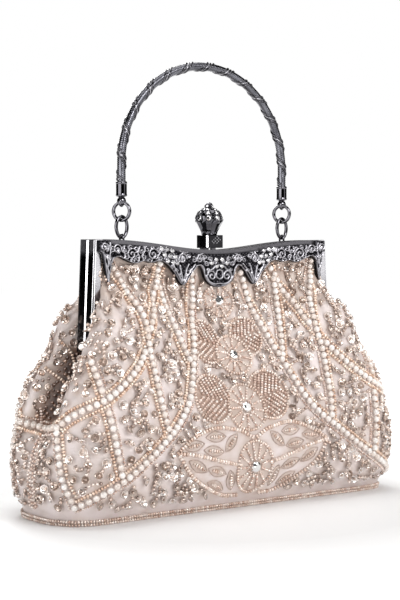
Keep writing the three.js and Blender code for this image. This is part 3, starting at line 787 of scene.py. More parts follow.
pearls = Beads()
seeds = Beads()
edgings = Beads()
outlines = Beads()
smoky = Beads()
fold_shade_beads = Beads()
sequins = Beads()
stones = Beads()
threads = []


def edge_band(line, bold, slim=True):
    """Rows of seeds beside a band of pearls: a bold row on one side and a slim one on the other."""
    edgings.add_row(beside(line, bold * EDGING_OFFSET), *EDGING_ROW)
    if slim:
        seeds.add_row(beside(line, -bold * EDGING_OFFSET), *SLIM_ROW)


def bead_bands():
    for side in (-1, 1):
        for name, knots in PEARL_ROUTES.items():
            line = front_line(knots, side)
            pearls.add_row(line, *PEARL_ROW)
            edge_band(line, side if name == "corner_brace" else -side)
            if name == "second_brace":
                edge_band(line, side, slim=False)


# Beaded flowers down the middle

OVALS = (
    # middle (distance round the pouch, height), half width, half height, spokes, radius of the stone
    (0, 118, 9.8, 9.2, 11, 3.2), (-1.2, 87, 12.2, 10.6, 12, 3.0), (-2, 58, 13, 12.6, 13, 3.1),
    (0, 24.6, 12.4, 14.6, 13, 3.4),
)
PETALS = (
    # middle, half width, half height, tilt in degrees, the oval in front
    (-18.5, 95, 9.6, 12, 20, OVALS[1]), (12, 97, 10.6, 10.8, 20, OVALS[1]),
    (-24.5, 64, 12, 13, 18, OVALS[2]), (16, 64, 14, 13.4, 18, OVALS[2]),
)
CHEVRON_SLOPE, CHEVRON_STEP, CHEVRON_REACH, CHEVRON_ROWS = 52, 2.35, 18, 8
CHEVRON_GAP = 0.7
OVAL_GAP = 1.2
STONE_LIFT = 0.7
STONE_ROW_GAP = 0.8


def ellipse(cx, cz, a, b, samples=120):
    angle = np.linspace(0, 2 * np.pi, samples)
    return np.stack([cx + a * np.cos(angle), cz + b * np.sin(angle)], -1)


def in_ellipse(distance, height, cx, cz, a, b):
    return ((distance - cx) / a) ** 2 + ((height - cz) / b) ** 2 < 1


def chevron_petal(cx, cz, a, b, tilt, oval):
    """Petal outlined by one row and filled with rows that slope away from its middle line. It
    stops at the oval in front of it."""
    side = math.copysign(1, cx)
    ox, oz, oa, ob = oval[:4]

    def clear(line):
        return ~in_ellipse(*line.T, ox, oz, oa + OVAL_GAP, ob + OVAL_GAP)

    outline = ellipse(cx, cz, a, b)[:-1]
    outline = np.roll(outline, -np.argmin(clear(outline)), axis=0)
    outlines.add_row(outline[clear(outline)], *OUTLINE_ROW)
    rise, run = math.cos(math.radians(tilt)), side * math.sin(math.radians(tilt))
    for half in (-1, 1):
        slope = math.radians(tilt + CHEVRON_SLOPE * half)
        along = np.array([side * math.cos(slope), math.sin(slope)])
        step = np.array([-along[1], along[0]])
        for k in range(-CHEVRON_ROWS, CHEVRON_ROWS + 1):
            start = np.array([cx, cz]) + CHEVRON_STEP * k * step
            line = start + np.linspace(-CHEVRON_REACH, CHEVRON_REACH, 73)[:, None] * along
            inside = in_ellipse(*line.T, cx, cz, a - ROW_MARGIN, b - ROW_MARGIN)
            above = (line[:, 1] - cz) * rise - (line[:, 0] - cx) * run
            line = line[inside & (above * half > CHEVRON_GAP) & clear(line)]
            if len(line) > 3:
                seeds.add_row(line, *CHEVRON_ROW)


def spoked_oval(cx, cz, a, b, spokes, stone):
    """Oval of seeds round a stone, with spokes between them."""
    outlines.add_row(ellipse(cx, cz, a, b), *OUTLINE_ROW)
    for k in range(spokes):
        reach = flat_direction(2 * np.pi * (k + 0.5) / spokes)[:2]
        inner = (stone + ROW_MARGIN) * reach
        outer = np.array([a - ROW_MARGIN, b - ROW_MARGIN]) * reach
        line = np.array([cx, cz]) + np.linspace(0, 1, 9)[:, None] * (outer - inner) + inner
        seeds.add_row(line, *SPOKE_ROW)
    stones.add_ball(*spot(cx, cz, STONE_LIFT), stone)
    radius = stone + STONE_ROW_GAP
    seeds.add_row(ellipse(cx, cz, radius, radius, 60), *STONE_ROW)


# Leaves at the foot of the front

LEAF_TIP = (54, 36.5)
LEAF_UPPER = np.array([(1.5, 41.5), (11, 46), (27.5, 48), (43, 43.5), LEAF_TIP])
LEAF_LOWER = np.array([(8, 8.8), (18, 9.6), (32, 15.4), (45, 24), LEAF_TIP])
LEAF_RIB = np.array([(11, 26.5), (24, 29.6), (40, 34), LEAF_TIP])
LEAF_EDGES = smooth_line(LEAF_UPPER), smooth_line(LEAF_LOWER)
SPINDLES = (
    # middle, length and tilt of the bead bars in the right leaf
    (16.4, 39.4, 8.5, -0.75), (27, 43.4, 9.5, 0.02), (29.5, 35.8, 9.5, 0.15), (42.5, 39.6, 9, -0.12),
    (15.6, 18, 8.5, 1.2), (25.5, 15.6, 9.5, 0.42), (27, 24.2, 9.5, 0.3), (40.5, 28.2, 9.5, 0.52),
)
LENS_END, LENS_HALF, LENS_LIFT = 2.4, 2.9, 0.2
THREAD_RADIUS = 0.3
BAR_PITCH, BAR_LIFT = 1.65, 0.75
BAR_HALF, BAR_REACH, BAR_DEPTH = 0.56, 1.55, 0.85


def leaf_spindles():
    """Spindles of both leaves."""
    left = [(-cx, cz, length, math.pi - tilt) for cx, cz, length, tilt in SPINDLES]
    return [*SPINDLES, *left]


def spindle(cx, cz, length, tilt):
    """Row of short bars in a lens drawn with thread."""
    turn = np.array([(math.cos(tilt), math.sin(tilt)), (-math.sin(tilt), math.cos(tilt))])
    steps = np.arange(-length / 2, length / 2 + 0.1, BAR_PITCH)
    points = (cx, cz) + np.stack([steps, 0 * steps], -1) @ turn
    place, (east, north, out) = spot(points[:, 0], points[:, 1], BAR_LIFT)
    along = turn[0, 0] * east + turn[0, 1] * north
    reach = BAR_REACH * np.cos(np.pi * steps / (length + 3))
    scales = np.stack([np.full(len(steps), BAR_HALF), reach, np.full(len(steps), BAR_DEPTH)], -1)
    outlines.add_at(place, (along, np.cross(out, along), out), scales)
    t = angles(32)
    lens = np.stack([(length / 2 + LENS_END) * np.cos(t), LENS_HALF * np.sin(t) * np.abs(np.sin(t))], -1)
    line = (cx, cz) + lens @ turn
    place, axes = spot(line[:, 0], line[:, 1], LENS_LIFT)
    threads.append(sweep(place, circle(THREAD_RADIUS, 5), axes[2], loop=True))


def in_lens(distance, height, cx, cz, length, tilt):
    u = (distance - cx) * math.cos(tilt) + (height - cz) * math.sin(tilt)
    v = (height - cz) * math.cos(tilt) - (distance - cx) * math.sin(tilt)
    return np.abs(v) < LENS_HALF * (1 - (u / (length / 2 + LENS_END)) ** 2)


def bead_flowers():
    for oval in OVALS:
        spoked_oval(*oval)
    for petal in PETALS:
        chevron_petal(*petal)
    for side in (-1, 1):
        for knots in (LEAF_UPPER, LEAF_LOWER, LEAF_RIB):
            outlines.add_row(smooth_line(knots * (side, 1), 120), *LEAF_ROW)
    for shape in leaf_spindles():
        spindle(*shape)


def in_flowers(distance, height):
    """True inside a leaf, a petal or an oval."""
    reach = np.abs(distance)
    upper, lower = (np.interp(reach, edge[:, 0], edge[:, 1]) for edge in LEAF_EDGES)
    inside = (reach < LEAF_TIP[0]) & (height < upper) & (height > lower)
    for shape in (*OVALS, *PETALS):
        inside |= in_ellipse(distance, height, *shape[:4])
    return inside


# Beads up the seams, round the base and in the open fields

BASE_HEIGHTS = (1.0, 2.85)
BASE_END = 0.4
SEAM_LENGTH = 38
TRIES = 16000
FILL_HEIGHTS = (9.5, 138)
FILL_MARGIN = 4
LEG_HEIGHTS, LEG_ROOM = (84, 126), 15
UPPER_FIELD, SIDE_FIELD = 108, 66
UPPER_SPACING, LOWER_SPACING, SIDE_SPACING = 4.7, 5.1, 5.5
CUP_ROOM, ORNAMENT_ROOM = 2.7, 3.5
CUP_LIFT, CUP_LEAN, CUP_RADII = 1.0, 0.4, (2.2, 2.8)
CUP_BEAD, CUP_BEAD_LIFT = 0.85, 0.7
CHAIN_RADII = (1.05, 1.25)
HEADING_SPREAD, BEND_SPREAD = 1.1, 0.35
CHAIN_START, CHAIN_STEP = 2.9, 2.05
CHAIN_LIFTS = (1.6, 2.1, 2.2, 1.7, 1.0)
CHAIN_ROOM, CHAIN_CUP_ROOM, CHAIN_LOWEST = 1.7, 2.3, 8.5
FOLD_ROOM, FOLD_SPACING, FOLD_LIFT = 1.6, 2.25, 0.7
FOLD_START, FOLD_RADII = 0.5, (0.95, 1.35)


def fold_share(distance, height):
    """How deep a place lies in the fold behind the leg's foot, from 0 to 1: how much painted shade the satin
    gets there, and where the darker beads go.
    """
    inward = seam_distance(height) - np.abs(distance)
    return np.clip(1.9 - inward / 12, 0, 1) * share_of(height, 46, 58) * share_of(height, 98, 88)


def seam_line(inset_low, inset_high, low, high, samples=40):
    """Line that climbs beside the side seam, from one distance from it to another."""
    heights = np.linspace(low, high, samples)
    return np.stack([seam_distance(heights) - np.linspace(inset_low, inset_high, samples), heights], -1)


def bead_seams():
    """Rows up each side seam, forked at the top, and the bands that come round the sides."""
    for side in (-1, 1):
        for inset, foot in ((1.3, 8.0), (3.4, 9.05)):
            seeds.add_row(seam_line(inset, inset, foot, foot + SEAM_LENGTH) * (side, 1), *SEAM_ROW)
        seeds.add_row(seam_line(1.9, 15, 46, 60) * (side, 1), *FORK_ROW)
        brace = seam_line(30, 2.5, 54, 49.5, 60) * (side, 1)
        pearls.add_row(brace, *PEARL_ROW)
        edge_band(brace, 1)
        for low, high in ((72, 82), (84, 97)):
            edgings.add_row(seam_line(8, 23, low, high) * (side, 1), *EDGING_ROW)


def bead_base():
    rows = Beads()
    for height in BASE_HEIGHTS:
        end = seam_distance(height) - BASE_END
        rows.add_row(np.stack([np.linspace(-end, end, 600), np.full(600, height)], -1), *BASE_ROW)
    return rows


def thinned(place, chosen, spacing):
    """Those of the chosen places that keep their spacing from the ones kept before them."""
    kept = []
    for i in chosen:
        if not kept or nearest(place[i:i + 1], place[kept])[0] > spacing[i]:
            kept.append(i)
    return kept


def add_cup(distance, height):
    """Sequin with a bead in its cup, leaning at random."""
    where, (east, north, out) = spot(distance, height, CUP_LIFT)
    lean = unit(out + CUP_LEAN * RNG.normal(size=(1, 3)))
    east = unit(np.cross(north, lean))
    sequins.add_ball(where, (east, np.cross(lean, east), lean), RNG.uniform(*CUP_RADII))
    smoky.add_ball(where + CUP_BEAD_LIFT * lean, (east, north, lean), CUP_BEAD)


def string_chains(starts, cups, taken):
    """Raised chain of beads from each cup, until it would meet something."""
    strung = np.empty((0, 3))
    for start in starts:
        heading = RNG.normal(math.pi / 2, HEADING_SPREAD)
        bend = RNG.normal(0, BEND_SPREAD)
        radius = RNG.uniform(*CHAIN_RADII)
        point = start + CHAIN_START * flat_direction(heading)[:2]
        for lift in CHAIN_LIFTS:
            where, axes = spot(*point, lift)
            base = where - lift * axes[2]
            free = nearest(base, taken)[0] > CHAIN_ROOM and nearest(base, cups)[0] > CHAIN_CUP_ROOM
            free = free and point[1] > CHAIN_LOWEST and not in_flowers(*point)
            if not free or nearest(where, strung)[0] < CHAIN_ROOM:
                break
            strung = np.concatenate([strung, where])
            smoky.add_ball(where, axes, radius)
            heading += bend
            point = point + CHAIN_STEP * flat_direction(heading)[:2]


def scatter_fill():
    """Cupped sequins with chains of beads in the open fields, and darker brown beads in the fold, where their
    dark colour paints its shade.
    """
    taken = places_of(pearls, seeds, edgings, outlines, stones)
    height = RNG.uniform(*FILL_HEIGHTS, TRIES)
    edge = seam_distance(height)
    distance = RNG.uniform(-1, 1, TRIES) * (edge - FILL_MARGIN)
    place = spot(distance, height)[0]
    room = nearest(place, taken)
    fold = fold_share(distance, height) > FOLD_START
    clear = (room > CUP_ROOM) & ~fold & ~in_flowers(distance, height)
    clear &= height < ornament_lower(place[:, 0]) - ORNAMENT_ROOM
    low, high = LEG_HEIGHTS
    clear &= (height < low) | (height > high) | (edge - np.abs(distance) > LEG_ROOM)
    spacing = np.where(height > UPPER_FIELD, UPPER_SPACING, LOWER_SPACING)
    spacing = np.where(np.abs(distance) > SIDE_FIELD, SIDE_SPACING, spacing)
    chosen = thinned(place, np.flatnonzero(clear), spacing)
    for i in chosen:
        add_cup(distance[i], height[i])
    string_chains(np.stack([distance, height], -1)[chosen], place[chosen], taken)
    # darker beads in the fold paint its shade
    in_fold = np.flatnonzero(fold & (room > FOLD_ROOM))
    for i in thinned(place, in_fold, np.full(TRIES, FOLD_SPACING)):
        fold_shade_beads.add_ball(*spot(distance[i], height[i], FOLD_LIFT), RNG.uniform(*FOLD_RADII))


def hide_under_ornament(beads, room):
    place = beads.places()
    under = (np.abs(place[:, 0]) < 85) & (place[:, 2] > ornament_lower(place[:, 0]) - room)
    beads.keep(~under)


def keep_clear(beads, gap, *others):
    """Leaves out beads that are closer than a gap to others."""
    beads.keep(nearest(beads.places(), places_of(*others)) > gap)


bead_bands()
bead_seams()
drop_doubled(pearls, 2.9)
bead_flowers()
drop_doubled(edgings, 1.1)
keep_clear(edgings, 2.3, pearls)
drop_doubled(outlines, 1.1)
keep_clear(outlines, 1.8, pearls, edgings)
drop_doubled(seeds, 1.05)
keep_clear(seeds, 1.5, pearls, edgings, outlines)
hide_under_ornament(pearls, 0.5)
for covered in (edgings, seeds, outlines):
    hide_under_ornament(covered, 0.2)
scatter_fill()
base_rows = bead_base()


# Pouch pieces

PANEL_ACROSS, PANEL_UP = 240, 100
CLOTH_THICKNESS = 1.8
# share of brown in the satin: an even ground tone, browner lenses, ovals and upper part, and painted shade
# round the beads, between the petals' bead rows and in the fold
GROUND_TINT, BEAD_SHADE, UPPER_TINT, FOLD_SHADE = 0.05, 0.2, 0.2, 0.95
LENS_TINT, PETAL_SHADE, OVAL_TINT = 0.27, 0.48, 0.26
BEAD_SHADE_REACH = 2.4
BASE_RINGS = (
    # share of the outline, height: the upper face, the edge and the lower face
    (0.0, 2.1), (0.35, 2.2), (0.7, 2.1), (0.92, 1.6), (0.985, 0.6), (0.97, 0.3), (0.9, 0.25), (0.6, 0.5),
    (0.0, 0.7),
)
SEED_SHAPE = ball(6, 4)
SMOKY_SHAPE = ball(7, 4)


def panel_shape():
    """Outer face of the front panel, and its distance round from the middle."""
    rows = np.linspace(0, TABLE_ROWS - 1, PANEL_UP)
    columns = np.linspace(0, TABLE_COLUMNS - 1, PANEL_ACROSS)
    row, column = (a.ravel() for a in np.meshgrid(rows, columns, indexing="ij"))
    return lookup(PLACES, row, column), lookup(DISTANCE, row, column)


def satin_tint_and_shade(place, distance):
    """Share of brown in the satin: painted shade, full in the fold at each side and less round the sewn beads
    and between the petals' bead rows; and browner in the leaves' lenses, the ovals and below the frame."""
    height = place[:, 2]
    # painted shade round the sewn beads
    sewn = places_of(pearls, edgings, outlines, smoky, sequins)
    tint_and_shade = GROUND_TINT + BEAD_SHADE * np.exp(-((nearest(place, sewn) / BEAD_SHADE_REACH) ** 2))
    tint_and_shade += UPPER_TINT * share_of(height, 110, 126)
    for shape in leaf_spindles():
        tint_and_shade = np.where(in_lens(distance, height, *shape), LENS_TINT, tint_and_shade)
    # painted shade between the petals' bead rows; the ovals are only browner
    for shapes, share in ((PETALS, PETAL_SHADE), (OVALS, OVAL_TINT)):
        for shape in shapes:
            tint_and_shade = np.where(in_ellipse(distance, height, *shape[:4]), share, tint_and_shade)
    # painted shade in the fold
    return tint_and_shade + FOLD_SHADE * fold_share(distance, height)


def add_panels():
    outer, distance = panel_shape()
    tint_and_shade = satin_tint_and_shade(outer, distance)
    panels = []
    for face, turn in FACES:
        mesh = make_mesh(f"{face}_cloth", turn(outer), [grid_faces(PANEL_UP, PANEL_ACROSS)])
        shade_points(mesh, "tint_and_shade", tint_and_shade)
        panel = add_piece(mesh, SATIN, "satin", replaced=(f"{face}_panel",))
        shell = panel.modifiers.new("thickness", "SOLIDIFY")
        shell.thickness = CLOTH_THICKNESS * MM
        shell.offset = -1
        panels.append(panel)
    return panels


def add_base():
    """Flat bottom of stiffened satin with a slight crown."""
    edge = PLACES[0, ::8]
    outline = np.concatenate([edge[:-1], turned_back(edge)[:-1]])
    points = np.concatenate([outline * (share, share, 0) + height * UP for share, height in BASE_RINGS])
    shape = points, [grid_faces(len(BASE_RINGS), len(outline), closed=True)]
    return add_shape("base_cloth", shape, SATIN, "satin", replaced=("base_panel",))


def add_beadwork():
    rows = (
        ("seed_rows", seeds.copies(SEED_SHAPE), SEED, "seed_bead"),
        ("outline_rows", outlines.copies(SEED_SHAPE), PALE_SEED, "seed_bead"),
        ("leaf_threads", merge(threads), THREAD, "satin"),
        ("edge_rows", edgings.copies(SEED_SHAPE), PEACH_SEED, "seed_bead"),
        ("bead_chains", smoky.copies(SMOKY_SHAPE), GLASS_BEAD, "seed_bead"),
        ("fold_beads", fold_shade_beads.copies(SMOKY_SHAPE), FOLD_SHADE_SEED, "seed_bead"),
        ("sequins", sequins.copies(sequin(12)), SEQUIN, "seed_bead"),
    )
    pieces = {}
    for face, turn in FACES:
        own = []
        for side_name, side in SIDES:
            on_side = turn(pearls.places())[:, 0] * side > 0
            points, groups = pearls.copies(ball(12, 8), on_side)
            name, node = f"pearls_{face}_{side_name}", f"pearl_bands_{face}_{side_name}"
            own.append(add_shape(name, (turn(points), groups), PEARL, "pearl", replaced=(node,)))
        for name, (points, groups), look, slot in rows:
            own.append(add_shape(f"{name}_{face}", (turn(points), groups), look, slot))
        points, groups = stones.copies(brilliant(10))
        mesh = make_mesh(f"flower_stones_{face}", turn(points), groups)
        nodes = [f"crystal_{face}_{i}" for i in (1, 2, 3, 4)]
        own.append(add_piece(mesh, CLEAR_CRYSTAL, "crystal", replaced=nodes, smooth=False))
        pieces[face] = own
    points, groups = base_rows.copies(SEED_SHAPE)
    both = merge([(turn(points), groups) for face, turn in FACES])
    add_shape("base_beads", both, PALE_SEED, "seed_bead", replaced=("base_trim",))
    return pieces


panels = add_panels()
base = add_base()
beadwork = add_beadwork()


# Frame

LEG_FOOT = 91.0
LEG_LEAN = 0.045
LEG_STATIONS, RAIL_STATIONS = 24, 90
FRAME_HALF_DEPTH = 7.5
LIP_SECTION = np.array([(-0.75, -0.12), (0.12, 0.95), (-0.75, 0.95)])
RAIL_SECTION = np.array([(-0.6, -0.6), (0.08, -0.6), (-0.6, 0.08)])
RIDGE_SECTION = np.array([(-0.3, -0.9), (0, -0.9), (0.62, 0.0), (0.5, 0.3), (0, 0.55), (-0.3, 0.55)])
RIDGE_SIZES = (0.65, 1.1)


def ease_edges(piece, width):
    bevel = piece.modifiers.new("edges", "BEVEL")
    bevel.width = width * MM
    bevel.segments = 2
    bevel.limit_method = "ANGLE"
    bevel.angle_limit = math.radians(35)
    bevel.use_clamp_overlap = True


def bevelled_copy(node, name, look, width, body="bag"):
    """The part's own shape with its edges eased."""
    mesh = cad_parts[node].data.copy()
    mesh.name = name
    mesh.materials.clear()
    ease_edges(add_piece(mesh, look, body=body, replaced=(node,), smooth=False), width)


def leg_line(side, y):
    """Outer face of a leg, so that a section's first axis points outwards and its second to +y."""
    heights = np.linspace(FRAME_HEIGHT - 0.4, LEG_FOOT + 0.3, LEG_STATIONS)[::-side]
    reach = FRAME_HALF_WIDTH + LEG_LEAN * (FRAME_HEIGHT - heights)
    path = np.stack([side * reach, np.full(LEG_STATIONS, y), heights], -1)
    return path, np.tile((side, 0.0, 0), (LEG_STATIONS, 1))


def frame_lips(face):
    """Polished outer edges of one half of the frame, down both legs, in pale metal that paints a highlight
    line.
    """
    front = face == "front"
    section = LIP_SECTION if front else LIP_SECTION[::-1] * (1, -1)
    depth = -FRAME_HALF_DEPTH if front else FRAME_HALF_DEPTH
    parts = []
    for side in (-1, 1):
        path, out = leg_line(side, depth)
        parts.append(sweep(path, section, out))
    return merge(parts)


def frame_rails():
    """Eased upper edges of both halves, along the top bar, in paler metal that paints a highlight."""
    x = np.linspace(FRAME_HALF_WIDTH, -FRAME_HALF_WIDTH, RAIL_STATIONS)
    path = np.stack([x, np.full(RAIL_STATIONS, -FRAME_HALF_DEPTH), frame_top(x)], -1)
    points, groups = sweep(path, RAIL_SECTION, np.tile((0, -1.0, 0), (RAIL_STATIONS, 1)))
    return merge([(points, groups), (turned_back(points), groups)])


def parting_ridges():
    """Raised lip along the parting of each leg, tapering to the foot, in pale metal that paints a highlight
    line.
    """
    parts = []
    for side in (-1, 1):
        path, out = leg_line(side, 0.0)
        size = np.interp(path[:, 2], (LEG_FOOT, FRAME_HEIGHT), RIDGE_SIZES)
        parts.append(sweep(path, RIDGE_SECTION * size[:, None, None], out))
    return merge(parts)


def add_frames():
    for face in ("front", "back"):
        bevelled_copy(f"frame_{face}", f"frame_{face}_half", FRAME_METAL, 0.6)
        add_shape(f"frame_{face}_lips", frame_lips(face), EDGE_GLINT_METAL, smooth=False)
    add_shape("frame_rails", frame_rails(), GLINT_METAL, smooth=False)
    add_shape("parting_ridges", parting_ridges(), EDGE_GLINT_METAL, smooth=False)
    for side_name in ("left", "right"):
        bevelled_copy(f"hinge_rivet_{side_name}", f"rivet_{side_name}", GUNMETAL, 0.12)


# Cast ornament: places are distance from the middle and drop below the corners, on the right half

SCROLLS = (
    # middle, size, turns, start in degrees, way round
    (47.2, 8.4, 3.5, 1.5, 200, 1), (61.6, 8.2, 3.5, 1.5, 200, 1), (14.2, 11.2, 3.2, 1.4, 150, 1),
    (26.6, 11.0, 3.2, 1.6, 180, 1), (5.6, 21.0, 3.4, 1.5, 30, -1), (79.6, 4.4, 2.8, 1.5, 120, 1),
    (71.4, 5.4, 2.8, 1.4, 180, 1),
)
CURLS = (
    # smaller ones, given in the same way
    (3.0, 12.6, 1.5, 1.2, 20, 1), (9.4, 13.6, 1.8, 1.3, 200, -1), (8.6, 17.6, 1.4, 1.2, 80, 1),
    (20.8, 17.6, 1.3, 1.1, 10, 1), (31.0, 17.2, 1.3, 1.1, 170, -1), (24.0, 20.0, 1.1, 1.0, 60, 1),
    (28.4, 20.2, 1.1, 1.0, 120, -1), (33.8, 15.2, 1.3, 1.1, 40, 1),
)
STEMS = (
    # knots
    [(53.4, 3.6), (53.0, 6.4), (54.6, 9.2), (53.2, 12.2)],
    [(56.4, 4.2), (57.6, 7.2), (56.6, 10.0), (57.4, 12.6)],
    [(66.6, 3.6), (67.2, 6.4), (66.2, 9.0), (67.0, 11.0)],
    [(43.4, 4.6), (42.6, 7.4), (44.0, 9.8), (43.0, 11.8)],
    [(76.0, 1.8), (75.8, 6.0), (76.4, 10.0), (76.2, 14.4)],
    [(80.2, 8.8), (78.2, 10.4), (77.2, 13.2), (77.8, 16.4)],
    [(79.2, 13.8), (77.8, 15.8), (77.0, 19.0), (77.2, 23.6)],
    [(25.4, 24.6), (22.6, 20.2), (19.6, 16.4), (17.6, 14.2)],
    [(25.8, 23.6), (24.4, 19.6), (23.4, 16.2), (22.2, 14.0)],
    [(26.4, 23.6), (27.4, 19.6), (28.0, 16.8), (28.4, 14.8)],
    [(26.8, 24.4), (30.0, 19.6), (31.8, 16.8), (33.2, 14.0)],
    [(0.0, 14.6), (3.4, 15.6), (5.0, 17.0), (8.6, 18.0)],
    [(0.0, 17.4), (2.0, 18.4), (2.2, 21.6), (0.0, 23.0)],
    [(0.0, 25.4), (3.6, 25.6), (7.4, 24.2), (9.8, 21.0)],
    [(11.0, 19.6), (11.4, 16.8), (13.2, 14.8), (16.6, 15.0)],
)
CUPS = (
    # middles of the stones' settings
    (33.6, 6.4), (37.4, 5.6), (41.2, 5.2), (31.6, 9.8), (35.2, 9.4), (39.0, 8.6), (33.0, 13.0), (36.8, 12.2),
    (2.2, 11.6), (5.6, 13.6), (1.9, 15.4), (30.2, 13.4),
)
SCROLL_HALF, CURL_HALF, TENDRIL_HALF, STEM_HALF = 0.72, 0.46, 0.5, 0.66
CUP_HALF, CUP_HEIGHT = 1.9, 0.75
RIM_HEIGHT = 0.84
ORNAMENT_COLUMNS, ORNAMENT_ROWS = 430, 46
GROUND_Y, RELIEF_DEPTH, PLATE_BACK_Y = -8.3, 2.6, -7.8
STONE_Y, STONE_RADIUS = -10.0, 1.45


def spiral(cx, cd, size, turns, start, way):
    """Scroll that winds in to its eye."""
    t = np.linspace(0, 1, 46)
    angle = math.radians(start) + way * 2 * np.pi * turns * t
    radius = size * (1 - 0.86 * t)
    return np.stack([cx + radius * np.cos(angle), cd + radius * np.sin(angle)], -1)


def tendrils():
    """Two uneven rows of small scrolls along the frame."""
    for k in range(19):
        x = 7.5 + 3.9 * k
        size = 1.75 + 0.3 * math.sin(3.1 * k)
        start = 90 * k + 40 * math.sin(5.1 * k)
        for drop, way in ((5.6 + 0.9 * math.sin(1.7 * k), 1), (10.6 + 1.1 * math.sin(2.3 * k + 1), -1)):
            yield spiral(x + 0.8 * way, drop, size, 1.2, start, way)


def ribbons():
    """Raised lines of the ornament, each with half its width."""
    lines = [(spiral(*scroll), SCROLL_HALF) for scroll in SCROLLS]
    lines += [(spiral(*curl), CURL_HALF) for curl in CURLS]
    lines += [(line, TENDRIL_HALF) for line in tendrils()]
    return lines + [(smooth_line(knots, 40), STEM_HALF) for knots in STEMS]


def dome(gap, half):
    return np.sqrt(np.clip(1 - (gap / half) ** 2, 0, 1))


def relief_height(x, drop, to_edge):
    """Height of the cast relief: scrolls, fans and cups over a sunk, pricked ground, with a raised rim."""
    x = np.abs(x)
    height = 0.34 + 0.3 * np.sin(2.6 * x + 1.1 * np.sin(drop)) * np.sin(2.9 * drop)
    grid = np.stack([x, drop], -1).reshape(-1, 2)
    for line, half in ribbons():
        height = np.maximum(height, dome(nearest(grid, line).reshape(x.shape), half))
    for cx, cd in CUPS:
        height = np.maximum(height, CUP_HEIGHT * dome(np.hypot(x - cx, drop - cd), CUP_HALF))
    rim = RIM_HEIGHT * np.clip(1 - (np.abs(to_edge - 0.6) / 0.7) ** 2, 0, 1)
    full = np.maximum(height * np.clip(to_edge / 0.4, 0.2, 1), rim)
    return full * np.clip((ORNAMENT_REACH - x) / 1.6, 0, 1)


def ornament_shape():
    """Plate with the relief on its front, and the relief's height at each point."""
    columns, rows = ORNAMENT_COLUMNS, ORNAMENT_ROWS
    x = np.linspace(-ORNAMENT_REACH, ORNAMENT_REACH, columns)
    low = ornament_lower(x)
    border = np.where(np.abs(x) > FRAME_HALF_WIDTH - 9, 0.6, 2.4)
    high = frame_top(x) - border
    z = low + (high - low) * np.linspace(0, 1, rows)[:, None]
    grid_x = np.repeat(x[None], rows, 0)
    slope = np.hypot(1, np.gradient(low, x))
    to_edge = np.minimum((z - low) / slope, 9)
    relief = relief_height(grid_x, FRAME_HEIGHT - z, to_edge)
    front = np.stack([grid_x, GROUND_Y - RELIEF_DEPTH * relief, z], -1).reshape(-1, 3)
    back = [np.stack([x, np.full(columns, PLATE_BACK_Y), edge], -1) for edge in (low, high)]
    first, second = rows * columns, rows * columns + columns
    k = np.arange(columns - 1)
    top = (rows - 1) * columns
    strips = ((first, 0), (top, second), (second, first))
    groups = [grid_faces(rows, columns)]
    groups += [np.stack([a + k, a + k + 1, b + k + 1, b + k], -1) for a, b in strips]
    ends = (
        [first, *range(0, rows * columns, columns), second],
        [second + columns - 1, *range(rows * columns - 1, 0, -columns), first + columns - 1],
    )
    groups += [np.array([end]) for end in ends]
    shade = np.concatenate([relief.ravel(), np.zeros(2 * columns)])
    return np.concatenate([front, *back]), groups, shade


def add_ornaments():
    points, groups, shade = ornament_shape()
    spots = np.array([(side * x, STONE_Y, FRAME_HEIGHT - drop) for side in (-1, 1) for x, drop in CUPS])
    stone, stone_groups = front_facing(brilliant(8), spots, (STONE_RADIUS,) * 3)
    for face, turn in FACES:
        mesh = make_mesh(f"relief_{face}", turn(points), groups)
        shade_points(mesh, "relief", shade)
        add_piece(mesh, RELIEF, "antique_metal", replaced=(f"ornament_{face}",))
        shape = turn(stone), stone_groups
        add_shape(f"relief_stones_{face}", shape, CRYSTAL, "crystal", smooth=False)


# Clasp

SLEEVE_HALF, SLEEVE_BACK, SLEEVE_WALL = 6.1, 0.6, 0.35
SLEEVE_BEVEL, SLEEVE_SEAT = (1.0, 1.05), 0.1
STUD_PITCH, STUD_SHARE, STUD_HEIGHT = (2.3, 1.9), 0.27, 0.4
SEPALS, SEPAL_START = 7, 0.26
SEPAL_STATIONS = (
    # distance from the axis, height, half width
    (4.3, 0.0, 1.5), (4.8, 2.0, 1.9), (6.0, 4.4, 2.6), (7.3, 6.8, 2.9), (8.1, 8.4, 1.9), (8.3, 9.4, 0.3),
)
KNOB_PROFILE = (
    # radius, height: the collar, the bud, and the ball on top
    (0.4, 0), (4.2, 0.02), (4.45, 0.4), (4.3, 0.9), (4.1, 1.4),
    (4.9, 3.2), (5.9, 5.2), (6.8, 7.4), (7.2, 9.2), (7.0, 11), (6.1, 13), (4.6, 14.6), (2.9, 15.6),
    (1.6, 16), (2.0, 16.5), (2.3, 17.3), (2.2, 18.1), (1.6, 18.8), (0.5, 19.2),
)
KNOB_RINGS = (
    # number of stones, distance from the axis, height, upward tilt, radius, start of the ring
    (8, 7.2, 9.8, 0.1, 1.95, 0.1), (7, 6.3, 12.7, 0.5, 1.6, 0.4), (5, 4.3, 14.7, 0.95, 1.35, 0.1),
    (4, 2.2, 17.0, 0.2, 0.8, 0.5),
)
CUP_PROFILE = ((0.75, -0.5), (1.2, -0.4), (1.3, 0.1), (1.22, 0.3), (0.95, 0.26), (0.9, 0.0))
STONE_SHARE = 0.88


def add_clasp():
    bevelled_copy("clasp_block", "clasp_lever", BLACK_METAL, 0.5, "clasp")
    bevelled_copy("clasp_pin", "clasp_pivot", GUNMETAL, 0.1)
    low, high = box_mm("clasp_block")
    add_clasp_sleeve(low, high)
    add_crosshatch(low, high)
    add_knob(np.array([0, 0, high[2] + 0.05]))


